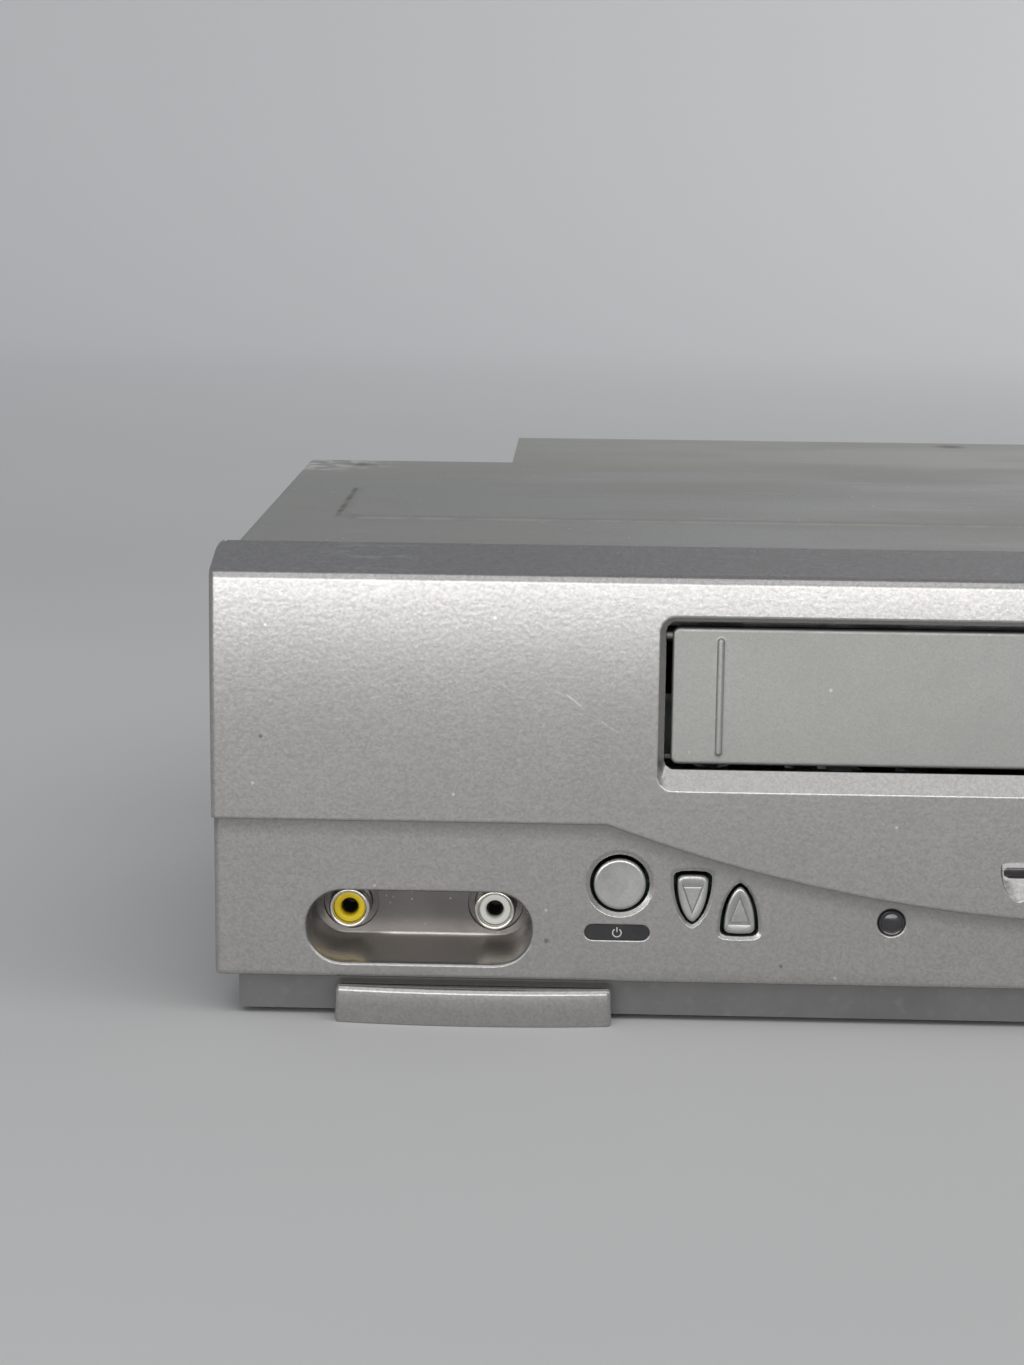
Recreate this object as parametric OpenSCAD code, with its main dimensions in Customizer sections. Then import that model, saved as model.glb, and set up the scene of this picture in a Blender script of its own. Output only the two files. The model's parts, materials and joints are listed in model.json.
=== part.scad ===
// Compact front-loading video cassette recorder, built from its separate pieces.
// X runs across the front, Y back from the front face, Z up from the table.

/* [Casing] */
// Width of the front panel
body_w = 360; // [352:1:380]
// Height over the front panel
body_h = 94; // [93:1:100]
// Depth from the front face to the back of the rear panel
case_d = 214; // [212:1:230]
// Width of the step in the rear left corner
notch_w = 53.6; // [45:0.2:60]
// Depth of the step in the rear left corner
notch_d = 57; // [50:1:60]
// Inset of the steel cover from the side of the front panel
cover_inset = 2.9; // [2.6:0.1:3.4]
// Drop from the top of the front panel to the flat of the cover
cover_drop = 0.6; // [0.4:0.1:1]
// Thickness of the cover sheet
cover_t = 0.8; // [0.6:0.1:1]
// Wall of the rear panel
rear_t = 1.5; // [1.2:0.1:2]
// Gap between the chassis floor and the table
ground_gap = 1.2; // [1:0.1:2]
// Thickness of the chassis floor
floor_t = 2.2; // [1.6:0.1:2.6]

/* [Front panel] */
// Wall of the front panel
panel_t = 2.4; // [2:0.1:2.6]
// Depth of the bevel along the top edge
bevel_d = 15.4; // [15:0.1:18]
// Height of the bevel along the top edge
bevel_h = 4.3; // [3:0.1:5]
// Radius of the upper front corners, seen from the front
corner_r = 3.5; // [2:0.5:5]
// Setback of the lower face
step_back = 4; // [3.6:0.1:4.4]
// Height of the flat part of the step line
step_z = 41.4; // [40.6:0.1:42]
// Half width of the sweep of the step line
sweep_half = 102.6; // [98:0.2:108]
// Depth of the sweep below the flat part
sweep_drop = 18.2; // [16:0.2:18.8]
// Height of the lower edge of the panel
panel_z = 8.4; // [8.2:0.1:9]

/* [Cassette door] */
// Shift of the door and the deck to the right
deck_x = 4; // [2:0.5:5]
// Width of the door
door_w = 189.4; // [189:0.1:190.4]
// Height of the door
door_h = 27; // [26.6:0.1:27.2]
// Drop from the top of the front panel to the top of the door
door_drop = 14; // [13.6:0.1:14.2]
// Thickness of the door
door_t = 2.4; // [2:0.1:2.6]
// Gap round the door
door_gap = 1.1; // [1:0.1:1.3]
// Width of the bevel round the opening
frame_bevel = 1.3; // [1:0.1:2]
// Height of the sloped ledge under the opening
ledge_h = 3.7; // [3.2:0.1:4]
// Radius of the door pins
door_pin_r = 1.5; // [1.2:0.1:1.8]

/* [Front controls] */
// Height of the centre of the power and play buttons
round_z = 28.7; // [28:0.1:29.5]
// Diameter of a round cap
round_cap_d = 10.3; // [9.5:0.1:11]
// Diameter of the small round caps
small_cap_d = 6.4; // [6:0.1:7]
// Width of an arched cap
arch_cap_w = 6.1; // [5.6:0.1:6.6]
// Height of an arched cap
arch_cap_h = 9.5; // [9:0.1:10]
// Width of the stop and eject cap
wide_cap_w = 13; // [11:0.1:14]
// Gap between a cap and its hole
cap_gap = 0.5; // [0.3:0.05:0.7]
// Reach of a cap in front of the lower face
cap_proud = 0.6; // [0.4:0.1:1]
// Travel of a button
button_travel = 1; // [0.6:0.1:1]
// Diameter of the remote sensor lens
lens_d = 5; // [4.6:0.1:5.4]
// Pitch of the indicator slots
led_pitch = 22.6; // [20:0.2:26]

/* [Sockets] */
// Width of the recess that holds the front sockets
recess_w = 45.4; // [44:0.2:47]
// Height of that recess
recess_h = 15.5; // [14.6:0.1:16]
// Depth of that recess behind the lower face
recess_d = 15; // [14:0.5:16]
// Distance between the two front sockets
jack_pitch = 29.3; // [28:0.1:30]
// Outer radius of a phono socket shell
jack_r = 4.15; // [4.1:0.05:4.2]
// Radius of the hole in the phono socket insert
jack_bore_r = 1.75; // [1.6:0.05:1.8]
// Outer radius of an aerial connector
aerial_r = 4.76; // [4.7:0.01:4.8]
// Reach of the rear connectors behind the rear panel
connector_reach = 10; // [8:0.5:12]

/* [Tape deck] */
// Height of the underside of the deck plate
deck_z = 16; // [15.8:0.1:16.4]
// Thickness of the deck plate
deck_t = 1.2; // [1:0.1:1.4]
// Inner width of the cassette holder
holder_w = 191.2; // [190.6:0.1:191.6]
// Depth of the cassette holder
holder_d = 60; // [56:1:62]
// Inner height of the cassette holder
holder_h = 26; // [25.6:0.1:26.2]
// Travel of the holder back into the deck
load_travel = 60; // [58:1:60]
// Drop of the holder onto the reels
drop_travel = 22; // [20:0.5:22]
// Radius of the head drum
drum_r = 31; // [30.5:0.1:31]
// Tilt of the head drum in degrees
drum_tilt = 5.5; // [4:0.5:6]
// Distance from the axis of the head drum to the back of the case
drum_back = 49; // [47:0.5:50]
// Distance of the reels behind the front face
reel_y = 75; // [72:0.5:80]
// Distance between the two reels
reel_pitch = 92.4; // [88:0.2:96]
// Radius of a reel table
reel_r = 14; // [12:0.5:16]
// Radius of the capstan shaft
capstan_r = 1.5; // [1.4:0.05:1.6]
// Radius of the flywheel
flywheel_r = 24; // [20:0.5:25]
// Radius of the pinch roller
pinch_r = 7; // [6:0.25:7.5]
// Swing of the pinch arm in degrees
pinch_swing = 25; // [20:1:26]
// Teeth of the cam gear
cam_teeth = 24; // [20:1:30]
// Outer radius of the cam gear
cam_r = 15; // [13:0.5:16]

/* [Hidden] */
$fn = 48;

silver = "#c4c2be";
steel = "#b4b6b9";
dark = "#26272a";
green_board = "#2f6b3c";

fit = 0.1;
run_gap = 0.06;
part_gap = 0.3;
half_w = body_w / 2;
body_d = case_d + connector_reach;

// Casing planes
cover_x = half_w - cover_inset;
cover_top = body_h - cover_drop;
cover_in_x = cover_x - cover_t;
cover_under = cover_top - cover_t;
cover_bottom = panel_z + 0.6;
notch_x = notch_w - half_w;
notch_y = case_d - notch_d;
floor_z = ground_gap + floor_t;
lip_z = floor_z + 13;
chassis_x = cover_in_x - 0.8;
chassis_front = step_back + 2.5;
rear_in = case_d - rear_t;
bevel_z = body_h - bevel_h;
rim_t = cover_inset + cover_t + 0.7;

// Lower face and what lies behind it
face_back = step_back + panel_t;
flange_t = 1;
flange_back = face_back + fit + flange_t;
switch_gap = 0.05;
stem_l = 1.2;
plunger_y = flange_back + stem_l + button_travel + switch_gap;
switch_d = 2.4;
board_y = plunger_y + switch_d;
board_t = 1.6;
board_z0 = panel_z + panel_t + 0.4;
board_z1 = step_z - 4;
board_x = [68 - half_w, half_w - 14];

// Sweep of the step line
sweep_r = (sweep_half * sweep_half + sweep_drop * sweep_drop) / (2 * sweep_drop);

// Control places on the lower face
power_x = 80 - half_w;
down_at = [power_x + 14.3, 26.1];
up_at = [power_x + 23.6, 23.8];
record_at = [-power_x - 40, 19.6];
pause_at = [-power_x - 24, 22];
rewind_at = [half_w - 61, 26];
forward_at = [half_w - 49, 26];
eject_at = [half_w - 30, 26];
lens_at = [power_x + 53.4, 21.8];
window_at = [power_x - 0.4, 18.8];
window_w = 12.6;
window_h = 3;
led_z = 33;
led_w = 6;
led_h = 1.8;
board_posts = [[72 - half_w, 35], [power_x + 38, 14.6], [-power_x - 54, 14.6],
    [half_w - 18, 35], [half_w - 18, 14.6]];
post_r = 2.4;

// Front sockets
recess_at = [40.5 - half_w, 18.95];
recess_back = step_back + recess_d;
recess_wall = 1.6;
jack_z = 19.8;
jack_tip = recess_back - 5;
jack_hole_r = 5.6;
jack_wall = 0.95;
jack_seat_r = jack_r - 0.2;
jack_seat = 5.4;
insert_gap = 0.05;
jacks_x = [recess_at.x - jack_pitch / 2, recess_at.x + jack_pitch / 2];

// Door
door_z = body_h - door_drop - door_h;
door_x0 = deck_x - door_w / 2;
door_x1 = deck_x + door_w / 2;
door_y = step_back;
door_top = body_h - door_drop;
door_pivot = [door_y + door_t + 0.2, door_top - 1.8];
ear_t = 3;
ear_gap = 1.2;
ear_reach = 4;
spring_l = 3;

// Cassette holder and its slider
holder_t = 0.8;
holder_y = door_y + 11;
holder_bottom = door_z - 0.6;
tray_t = 0.8;
ledge_w = 14;
holder_side = holder_w / 2 + holder_t;
holder_top = holder_bottom + holder_h;
slider_gap = 0.6;
slider_t = 1.2;
slider_in = holder_side + slider_gap;
slider_out = slider_in + slider_t;
frame_gap = 0.6;
frame_t = 1.2;
frame_in = slider_out + frame_gap;
frame_out = frame_in + frame_t;
pin_r = 1.6;
pin_y = [holder_y + 16, holder_y + 44];
holder_pin_z = holder_bottom + 12;
slider_pin_z = holder_top + 2.6;
slider_y = [holder_y + 10, holder_y + 50];
slot_gap = 0.25;
frame_y = [holder_y + 8, pin_y[1] + load_travel + 12];
frame_top = slider_pin_z + 5;

// Deck
plate_top = deck_z + deck_t;
plate_back = 12.5;
plate_x = [deck_x - frame_out, deck_x + frame_out];
plate_y = [holder_y + 15, rear_in - plate_back];
drum_y = case_d - drum_back;
drum_z = 22;
lower_drum_h = 14;
upper_drum_h = 12;
reel_z = plate_top + 1.6;
reel_top = reel_z + 5;
spindle_top = 40;
reel_post_r = 1.5;
capstan_at = [deck_x + 62, drum_y - 23];
capstan_top = 44;
pinch_pivot = [deck_x + 84, drum_y - 7];
pinch_meet = [capstan_at.x, capstan_at.y + capstan_r + pinch_r + part_gap];
pinch_l = norm(pinch_meet - pinch_pivot);
pinch_a = atan2(pinch_meet.y - pinch_pivot.y, pinch_meet.x - pinch_pivot.x) - pinch_swing;
pinch_rest = pinch_pivot + pinch_l * [cos(pinch_a), sin(pinch_a)];
arm_pin_r = 2;
pinch_z = plate_top + 9;
guide_run = [15, 46];
guide_x = 30;
guide_y = drum_y - 39;
guide_size = 9;
cam_at = [deck_x - 66, drum_y + 17];
cam_z = plate_top + 5;
cam_h = 6;
worm_r = 3.4;
worm_y = cam_at.y - cam_r - worm_r - part_gap;
motor_z = cam_z + cam_h / 2;
motor_r = 8;
tension_pivot = [deck_x - 80, drum_y - 19];
tension_l = 22;

// Boards inside
main_x = [6 - chassis_x, plate_x[0] - 8];
main_y = [42, notch_y - 10];
power_bx = [plate_x[1] + 6, chassis_x - 4];
power_by = [26, 140];
inner_z = floor_z + 7;
board_top = inner_z + board_t;
// Screws that hold the deck, the boards and the cover
function corners(x, y, m) = [for (a = [x[0] + m, x[1] - m]) for (b = [y[0] + m, y[1] - m]) [a, b]];
pilot_r = 1.25;
deck_screws = corners([plate_x[0] + 2, plate_x[1] - 2], plate_y, 6);
board_screws = concat(corners(main_x, main_y, 5), corners(power_bx, power_by, 5));
deck_screw_l = 7;
board_screw_l = 5;
side_screw_y = [30, notch_y - 12];
side_screw_z = 13.5;
tuner_x = [plate_x[1] + 6, chassis_x - 7.7];
tuner_y = [power_by[1] + 16, rear_in - fit];
tuner_z = [lip_z, lip_z + 27];
aerial_at = [[tuner_x[0] + 13, tuner_z[0] + 9], [tuner_x[1] - 13, tuner_z[0] + 9]];
channel_at = [(tuner_x[0] + tuner_x[1]) / 2, tuner_z[1] - 5];
channel_travel = 4;
rear_jack_x = [68, 88];
rear_jack_z = [54, 74];
rear_jack_l = 8.4;
gland_side = 23.6;
gland_at = [notch_x - gland_side, 24];
gland_r = 5;

// Feet
foot_w = 54.7;
foot_x = 51.4 - half_w;
foot_h = 7.6;
foot_bulge = 1.6;
foot_back = 34;

function arc_points(c, r, a0, a1, n = 6) =
    [for (i = [0:n]) let(a = a0 + (a1 - a0) * i / n) [c[0] + r * cos(a), c[1] + r * sin(a)]];

function rounded(w, h, r, n = 5) = concat(
    arc_points([w / 2 - r, h / 2 - r], r, 0, 90, n),
    arc_points([r - w / 2, h / 2 - r], r, 90, 180, n),
    arc_points([r - w / 2, r - h / 2], r, 180, 270, n),
    arc_points([w / 2 - r, r - h / 2], r, 270, 360, n));

// An arch with a flat foot and a rounded tip, centred on its box.
function arch_side(w, h, n = 8) =
    [for (i = [0:n]) let(t = i / n) [w / 2 * pow(1 - pow(t, 2.4), 0.72), (h * 0.9) * t - h * 0.4]];

function arch(w, h) = let(side = arch_side(w, h)) concat(
    [[w * 0.36, -h / 2]], side,
    [for (i = [len(side) - 2:-1:0]) [-side[i][0], side[i][1]]],
    [[-w * 0.36, -h / 2]]);

// Height of the step line at a place across the front.
function step_height(x) = abs(x) >= sweep_half ? step_z
    : step_z - sweep_drop + sweep_r - sqrt(sweep_r * sweep_r - x * x);

function step_points(half, up) = concat(
    [[-half, step_z + up]],
    [for (i = [-16:16]) let(x = sweep_half * i / 16) [x, step_height(x) + up]],
    [[half, step_z + up]]);

module along_y(y0, y1) {
    translate([0, y1, 0]) rotate([90, 0, 0]) linear_extrude(y1 - y0) children();
}

module along_x(x0, x1) {
    translate([x0, 0, 0]) rotate([90, 0, 90]) linear_extrude(x1 - x0) children();
}

module along_z(z0, z1) {
    translate([0, 0, z0]) linear_extrude(z1 - z0) children();
}

module block(x, y, z) {
    translate([x[0], y[0], z[0]]) cube([x[1] - x[0], y[1] - y[0], z[1] - z[0]]);
}

module rod_x(x0, x1, y, z, r) {
    translate([x0, y, z]) rotate([0, 90, 0]) cylinder(r = r, h = x1 - x0);
}

module rod_y(x, y0, y1, z, r) {
    translate([x, y0, z]) rotate([-90, 0, 0]) cylinder(r = r, h = y1 - y0);
}

module rod_z(x, y, z0, z1, r) {
    translate([x, y, z0]) cylinder(r = r, h = z1 - z0);
}

// Winds a wire of radius w into a helix of radius r along +Z, and ends it in a straight leg
// along +Y whose tip turns up along +Z.
module sprung_wire(r, w, turns, l, leg, tip) {
    sides = 6;
    steps = 12;
    last = turns * steps;
    points = concat(
        [for (i = [0:last]) let(a = 360 * i / steps, z = l * i / last)
            for (k = [0:sides - 1]) let(b = 360 * k / sides)
                [(r + w * cos(b)) * cos(a), (r + w * cos(b)) * sin(a), z + w * sin(b)]],
        [for (z = [0, tip]) for (k = [0:sides - 1]) let(b = 360 * k / sides)
            [r + w * cos(b), leg - w * sin(b), l + (z > 0 ? z : w * sin(b))]]);
    rings = last + 2;
    faces = concat(
        [for (i = [0:rings - 1]) for (k = [0:sides - 1]) let(n = (k + 1) % sides)
            [i * sides + k, i * sides + n, (i + 1) * sides + n, (i + 1) * sides + k]],
        [[for (k = [sides - 1:-1:0]) k]],
        [[for (k = [0:sides - 1]) rings * sides + k]]);
    polyhedron(points, faces);
}

module panel_outline(low) {
    side = half_w - corner_r;
    top = body_h - corner_r;
    polygon(concat([[half_w, low]], arc_points([side, top], corner_r, 0, 90, 4),
        arc_points([-side, top], corner_r, 90, 180, 4), [[-half_w, low]]));
}

module upper_block(inset) {
    intersection() {
        along_y(inset, bevel_d + (inset > 0 ? 1 : 0)) polygon(concat(step_points(half_w - inset, inset),
            arc_points([half_w - corner_r, body_h - corner_r], corner_r - inset, 0, 90, 4),
            arc_points([corner_r - half_w, body_h - corner_r], corner_r - inset, 90, 180, 4)));
        along_x(-half_w, half_w) polygon([[inset, 0], [inset, bevel_z - inset * 0.6],
            [bevel_d, body_h - inset], [bevel_d + 2, body_h - inset], [bevel_d + 2, 0]]);
    }
}

module lower_block(inset) {
    along_y(step_back + inset, bevel_d + (inset > 0 ? 1 : 0))
        polygon(concat(step_points(half_w - inset, inset + 0.5),
            [[half_w - inset, panel_z + inset], [inset - half_w, panel_z + inset]]));
}

module cap_outline(kind, grow) {
    if (kind == "round") circle(d = round_cap_d + 2 * grow);
    if (kind == "small") circle(d = small_cap_d + 2 * grow);
    if (kind == "up") polygon(arch(arch_cap_w + 2 * grow, arch_cap_h + 2 * grow));
    if (kind == "down") rotate(180) polygon(arch(arch_cap_w + 2 * grow, arch_cap_h + 2 * grow));
    if (kind == "wide") polygon(rounded(wide_cap_w + 2 * grow, arch_cap_h + 2 * grow, 3));
}

module cap_hole(at, kind) {
    along_y(step_back - 2, face_back + 1) translate(at) cap_outline(kind, cap_gap);
}

module button(at, kind) {
    color("#cfcdc8") {
        along_y(step_back - cap_proud, face_back + fit + 0.01) translate(at) cap_outline(kind, 0);
        along_y(face_back + fit, flange_back) translate(at) cap_outline(kind, 1.2);
        rod_y(at[0], flange_back - 0.1, flange_back + stem_l, at[1], 1.6);
    }
}

module jack_recess_space() {
    hull() {
        along_y(step_back - 1, step_back + 0.1) translate(recess_at)
            polygon(rounded(recess_w, recess_h, recess_h / 2 - 0.05));
        along_y(recess_back - 0.1, recess_back) translate([recess_at[0], recess_at[1] + 0.7])
            polygon(rounded(recess_w - 1.6, recess_h - 2.6, (recess_h - 2.6) / 2 - 0.05));
    }
}

module door_opening() {
    z0 = door_z - door_gap + 0.4;
    z1 = door_top + door_gap + 0.2;
    w = door_w + 2 * door_gap + 0.4;
    hull() {
        along_y(-0.1, 0) translate([deck_x, (z0 + z1 + frame_bevel - ledge_h) / 2])
            polygon(rounded(w + 2 * frame_bevel, z1 - z0 + frame_bevel + ledge_h, 3));
        along_y(panel_t, panel_t + 0.1) translate([deck_x, (z0 + z1) / 2])
            polygon(rounded(w, z1 - z0, 2));
    }
}

module front_panel() {
    color(silver) difference() {
        union() {
            difference() {
                union() {
                    upper_block(0);
                    lower_block(0);
                }
                upper_block(panel_t);
                lower_block(panel_t);
            }
            // Rim that the cover butts against
            difference() {
                along_y(bevel_d - 3, bevel_d) panel_outline(panel_z);
                along_y(bevel_d - 4, bevel_d + 1) polygon([[-half_w + rim_t, panel_z - 1],
                    [half_w - rim_t, panel_z - 1], [half_w - rim_t, body_h - 3.6],
                    [-half_w + rim_t, body_h - 3.6]]);
            }
            // Tube of the socket recess
            along_y(step_back + 0.5, recess_back + recess_wall) translate(recess_at)
                polygon(rounded(recess_w + 2 * recess_wall, recess_h + 2 * recess_wall,
                    recess_h / 2 + recess_wall - 0.05));
            // Posts for the front board
            for (p = board_posts) rod_y(p[0], face_back - 0.5, board_y, p[1], post_r);
            // Ears for the door pins
            for (s = [-1, 1]) {
                x = s > 0 ? door_x1 + ear_gap + spring_l : door_x0 - ear_gap - ear_t;
                block([x, x + ear_t], [panel_t - 0.5, door_pivot[0] + ear_reach],
                    [door_pivot[1] - ear_reach, door_pivot[1] + ear_reach]);
            }
        }
        door_opening();
        jack_recess_space();
        for (x = jacks_x) rod_y(x, recess_back - 1, recess_back + recess_wall + 1, jack_z, jack_hole_r);
        rod_x(door_x0 - 12, door_x1 + 12, door_pivot[0], door_pivot[1], door_pin_r + run_gap);
        cap_hole([power_x, round_z], "round");
        cap_hole([-power_x, round_z], "round");
        cap_hole(down_at, "down");
        cap_hole(up_at, "up");
        cap_hole(record_at, "small");
        cap_hole(pause_at, "small");
        cap_hole(rewind_at, "down");
        cap_hole(forward_at, "up");
        cap_hole(eject_at, "wide");
        rod_y(lens_at[0], step_back - 1, face_back + 1, lens_at[1], lens_d / 2 + fit);
        along_y(step_back - 1, face_back + 1) translate(window_at)
            polygon(rounded(window_w + 2 * fit, window_h + 2 * fit, window_h / 2 - 0.05));
        for (i = [-1:1]) along_y(-1, panel_t + 1) translate([i * led_pitch, led_z])
            polygon(rounded(led_w + 2 * fit, led_h + 2 * fit, 0.9, 3));
    }
}

module cover_plan(inset, past) {
    polygon([[inset - cover_x, bevel_d + (past > 0 ? -1 : fit)],
        [cover_x - inset, bevel_d + (past > 0 ? -1 : fit)],
        [cover_x - inset, case_d + past], [notch_x - past, case_d + past],
        [notch_x - past, notch_y + past], [inset - cover_x, notch_y + past]]);
}

module top_cover() {
    emboss_w = body_w - 41;
    emboss_y = [53, notch_y - 50];
    emboss_c = (emboss_y[0] + emboss_y[1]) / 2;
    emboss_l = emboss_y[1] - emboss_y[0];
    color("#a9a6a0") difference() {
        union() {
            along_z(cover_bottom, cover_top) cover_plan(0, 0);
            along_z(cover_top - 0.2, body_h) translate([0, emboss_c])
                polygon(rounded(emboss_w, emboss_l, 6));
        }
        along_z(cover_bottom - 1, cover_under) cover_plan(cover_t, 1);
        along_z(cover_under - 1, body_h - cover_t) translate([0, emboss_c])
            polygon(rounded(emboss_w - 2 * cover_t, emboss_l - 2 * cover_t, 5));
        // Vents in both sides
        for (s = [-1, 1]) for (i = [0:9])
            block([s * cover_x - 2, s * cover_x + 2], [60 + 6 * i, 62.5 + 6 * i], [56, 78]);
        // Screw holes in both sides
        for (s = [-1, 1]) for (y = side_screw_y)
            rod_x(s * cover_x - 2, s * cover_x + 2, y, side_screw_z, 1.8);
    }
}

module chassis_plan(inset, front) {
    polygon([[inset - chassis_x, front + inset], [chassis_x - inset, front + inset],
        [chassis_x - inset, rear_in - fit - inset], [notch_x + rear_t + fit + inset, rear_in - fit - inset],
        [notch_x + rear_t + fit + inset, notch_y - rear_t - fit - inset],
        [inset - chassis_x, notch_y - rear_t - fit - inset]]);
}

module chassis() {
    wall = 2;
    color(silver) difference() {
        union() {
            difference() {
                along_z(ground_gap, lip_z) chassis_plan(0, chassis_front);
                along_z(floor_z, lip_z + 1) chassis_plan(wall, chassis_front);
                // The walls stop below the front panel
                block([-half_w, half_w], [0, bevel_d + fit], [panel_z - fit, lip_z + 1]);
            }
            for (p = deck_screws) rod_z(p[0], p[1], floor_z - 0.5, deck_z, 4);
            for (p = board_screws) rod_z(p[0], p[1], floor_z - 0.5, inner_z, 3);
            for (x = [tuner_x[0] + 6, tuner_x[1] - 6]) for (y = [tuner_y[0] + 6, tuner_y[1] - 8])
                rod_z(x, y, floor_z - 0.5, tuner_z[0], 3);
        }
        for (s = [-1, 1]) for (y = side_screw_y)
            rod_x(s * chassis_x - 3, s * chassis_x + 3, y, side_screw_z, pilot_r);
        for (p = deck_screws) rod_z(p[0], p[1], deck_z - deck_screw_l, deck_z + 1, pilot_r);
        for (p = board_screws) rod_z(p[0], p[1], inner_z - board_screw_l, inner_z + 1, pilot_r);
        // Air slots in the floor
        for (x = [power_bx[0]:5:power_bx[1] - 3]) block([x, x + 2.5], [50, 110], [0, floor_z + 1]);
    }
}

module rear_panel() {
    x1 = cover_in_x - fit;
    top = cover_under - fit;
    color("#5b5c60") difference() {
        along_z(ground_gap, top) polygon([[x1, case_d], [notch_x, case_d], [notch_x, notch_y],
            [-x1, notch_y], [-x1, notch_y - rear_t], [notch_x + rear_t, notch_y - rear_t],
            [notch_x + rear_t, rear_in], [x1, rear_in]]);
        for (p = aerial_at) rod_y(p[0], rear_in - 1, case_d + 1, p[1], aerial_r + 0.4);
        for (x = rear_jack_x) for (z = rear_jack_z)
            rod_y(x, rear_in - 1, case_d + 1, z, jack_r + 0.6);
        block([channel_at[0] - 5, channel_at[0] + 5], [rear_in - 1, case_d + 1],
            [channel_at[1] - 1.8, channel_at[1] + 1.8]);
        rod_y(gland_at[0], notch_y - rear_t - 1, notch_y + 1, gland_at[1], gland_r + fit);
        for (i = [0:13]) block([-100 + 7 * i, -97 + 7 * i], [rear_in - 1, case_d + 1], [56, 76]);
    }
}

module cassette_door() {
    w = door_x1 - door_x0;
    groove_x = -81.4;
    color("#bfbfb9") {
        difference() {
            along_y(door_y, door_y + door_t) translate([deck_x, door_z + door_h / 2])
                polygon(rounded(w, door_h, 1.5));
            block([groove_x - 0.5, groove_x + 0.5], [door_y - 1, door_y + 0.5], [door_z + 2, door_top - 2]);
        }
        // Blocks that carry the pins
        for (x = [door_x0, door_x1 - 4]) block([x, x + 4],
            [door_y + door_t - 0.4, door_pivot[0] + 2], [door_pivot[1] - 2, door_pivot[1] + 1.4]);
        rod_x(door_x0 - ear_gap - ear_t, door_x0 + 2, door_pivot[0], door_pivot[1], door_pin_r);
        rod_x(door_x1 - 2, door_x1 + ear_gap + spring_l + ear_t, door_pivot[0], door_pivot[1], door_pin_r);
    }
}

module door_spring() {
    wire = 0.3;
    r = door_pin_r + part_gap + wire;
    // The leg hooks over the back of the ear
    color(steel)
        translate([door_x1 + ear_gap + 0.2, door_pivot[0], door_pivot[1]]) rotate([0, 90, 0])
            sprung_wire(r, wire, 3, spring_l - 0.6, ear_reach + wire + fit, 1.9);
}

module power_button() { button([power_x, round_z], "round"); }
module play_button() { button([-power_x, round_z], "round"); }
module channel_down_button() { button(down_at, "down"); }
module channel_up_button() { button(up_at, "up"); }
module record_button() { button(record_at, "small"); }
module pause_button() { button(pause_at, "small"); }
module rewind_button() { button(rewind_at, "down"); }
module fast_forward_button() { button(forward_at, "up"); }
module stop_eject_button() { button(eject_at, "wide"); }

module indicator_lenses() {
    color("#2b1414") for (i = [-1:1]) along_y(0.9, board_y - 2) translate([i * led_pitch, led_z])
        polygon(rounded(led_w, led_h, 0.8, 3));
}

module remote_lens() {
    color("#2a2530") {
        rod_y(lens_at[0], step_back - 0.4, face_back + 1.2, lens_at[1], lens_d / 2);
        rod_y(lens_at[0], face_back, face_back + 1, lens_at[1], lens_d / 2 + 1);
    }
}

module standby_window() {
    color(dark) {
        along_y(step_back + 0.1, face_back + 0.5) translate(window_at)
            polygon(rounded(window_w, window_h, window_h / 2 - 0.1));
        along_y(face_back, face_back + 1) translate(window_at)
            polygon(rounded(window_w + 2, window_h + 2, window_h / 2));
    }
}

module front_foot(x) {
    half = foot_w / 2;
    rise = foot_bulge;
    r = (half * half + rise * rise) / (2 * rise);
    a = asin(half / r);
    color(silver) difference() {
        along_z(0, foot_h) translate([x, 0])
            polygon(concat(arc_points([0, r], r, 270 - a, 270 + a, 16),
                [[half, foot_back], [-half, foot_back]]));
        block([x - half - 1, x + half + 1], [chassis_front - fit, foot_back + 1], [ground_gap, foot_h + 1]);
    }
}

module front_foot_left() { front_foot(foot_x); }
module front_foot_right() { front_foot(-foot_x); }

module rear_feet() {
    color(dark) {
        rod_z(-140, notch_y - 22, 0, ground_gap, 8);
        rod_z(chassis_x - 22, rear_in - 22, 0, ground_gap, 8);
    }
}

module screw(l) {
    translate([0, 0, -l]) cylinder(r = 1.2, h = l + 0.1);
    difference() {
        cylinder(r = 3, h = 1.8);
        for (a = [0, 90]) rotate(a) translate([-2, -0.4, 0.9]) cube([4, 0.8, 2]);
    }
}

module screws() {
    color("#3a3b3e") {
        for (s = [-1, 1]) for (y = side_screw_y) translate([s * cover_x, y, side_screw_z])
            rotate([0, 90 * s, 0]) screw(3.5);
        for (p = deck_screws) translate([p[0], p[1], plate_top]) screw(deck_t + deck_screw_l - 0.5);
        for (p = board_screws) translate([p[0], p[1], board_top]) screw(board_t + board_screw_l - 0.5);
    }
}

module jack_shell(x) {
    color("#d8d8d6") difference() {
        union() {
            rod_y(x, jack_tip, recess_back, jack_z, jack_r);
            rod_y(x, recess_back - 0.1, recess_back + recess_wall + jack_seat, jack_z, jack_seat_r);
        }
        rod_y(x, jack_tip - 1, recess_back + recess_wall + jack_seat + 1, jack_z, jack_r - jack_wall);
    }
}

module jack_insert(x, c) {
    color(c) difference() {
        rod_y(x, jack_tip + 1, recess_back + recess_wall + jack_seat, jack_z,
            jack_r - jack_wall - insert_gap);
        rod_y(x, jack_tip, jack_tip + 9, jack_z, jack_bore_r);
    }
}

module video_jack_shell() { jack_shell(jacks_x[0]); }
module audio_jack_shell() { jack_shell(jacks_x[1]); }
module video_jack_insert() { jack_insert(jacks_x[0], "#f2c500"); }
module audio_jack_insert() { jack_insert(jacks_x[1], "#ece9df"); }

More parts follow.
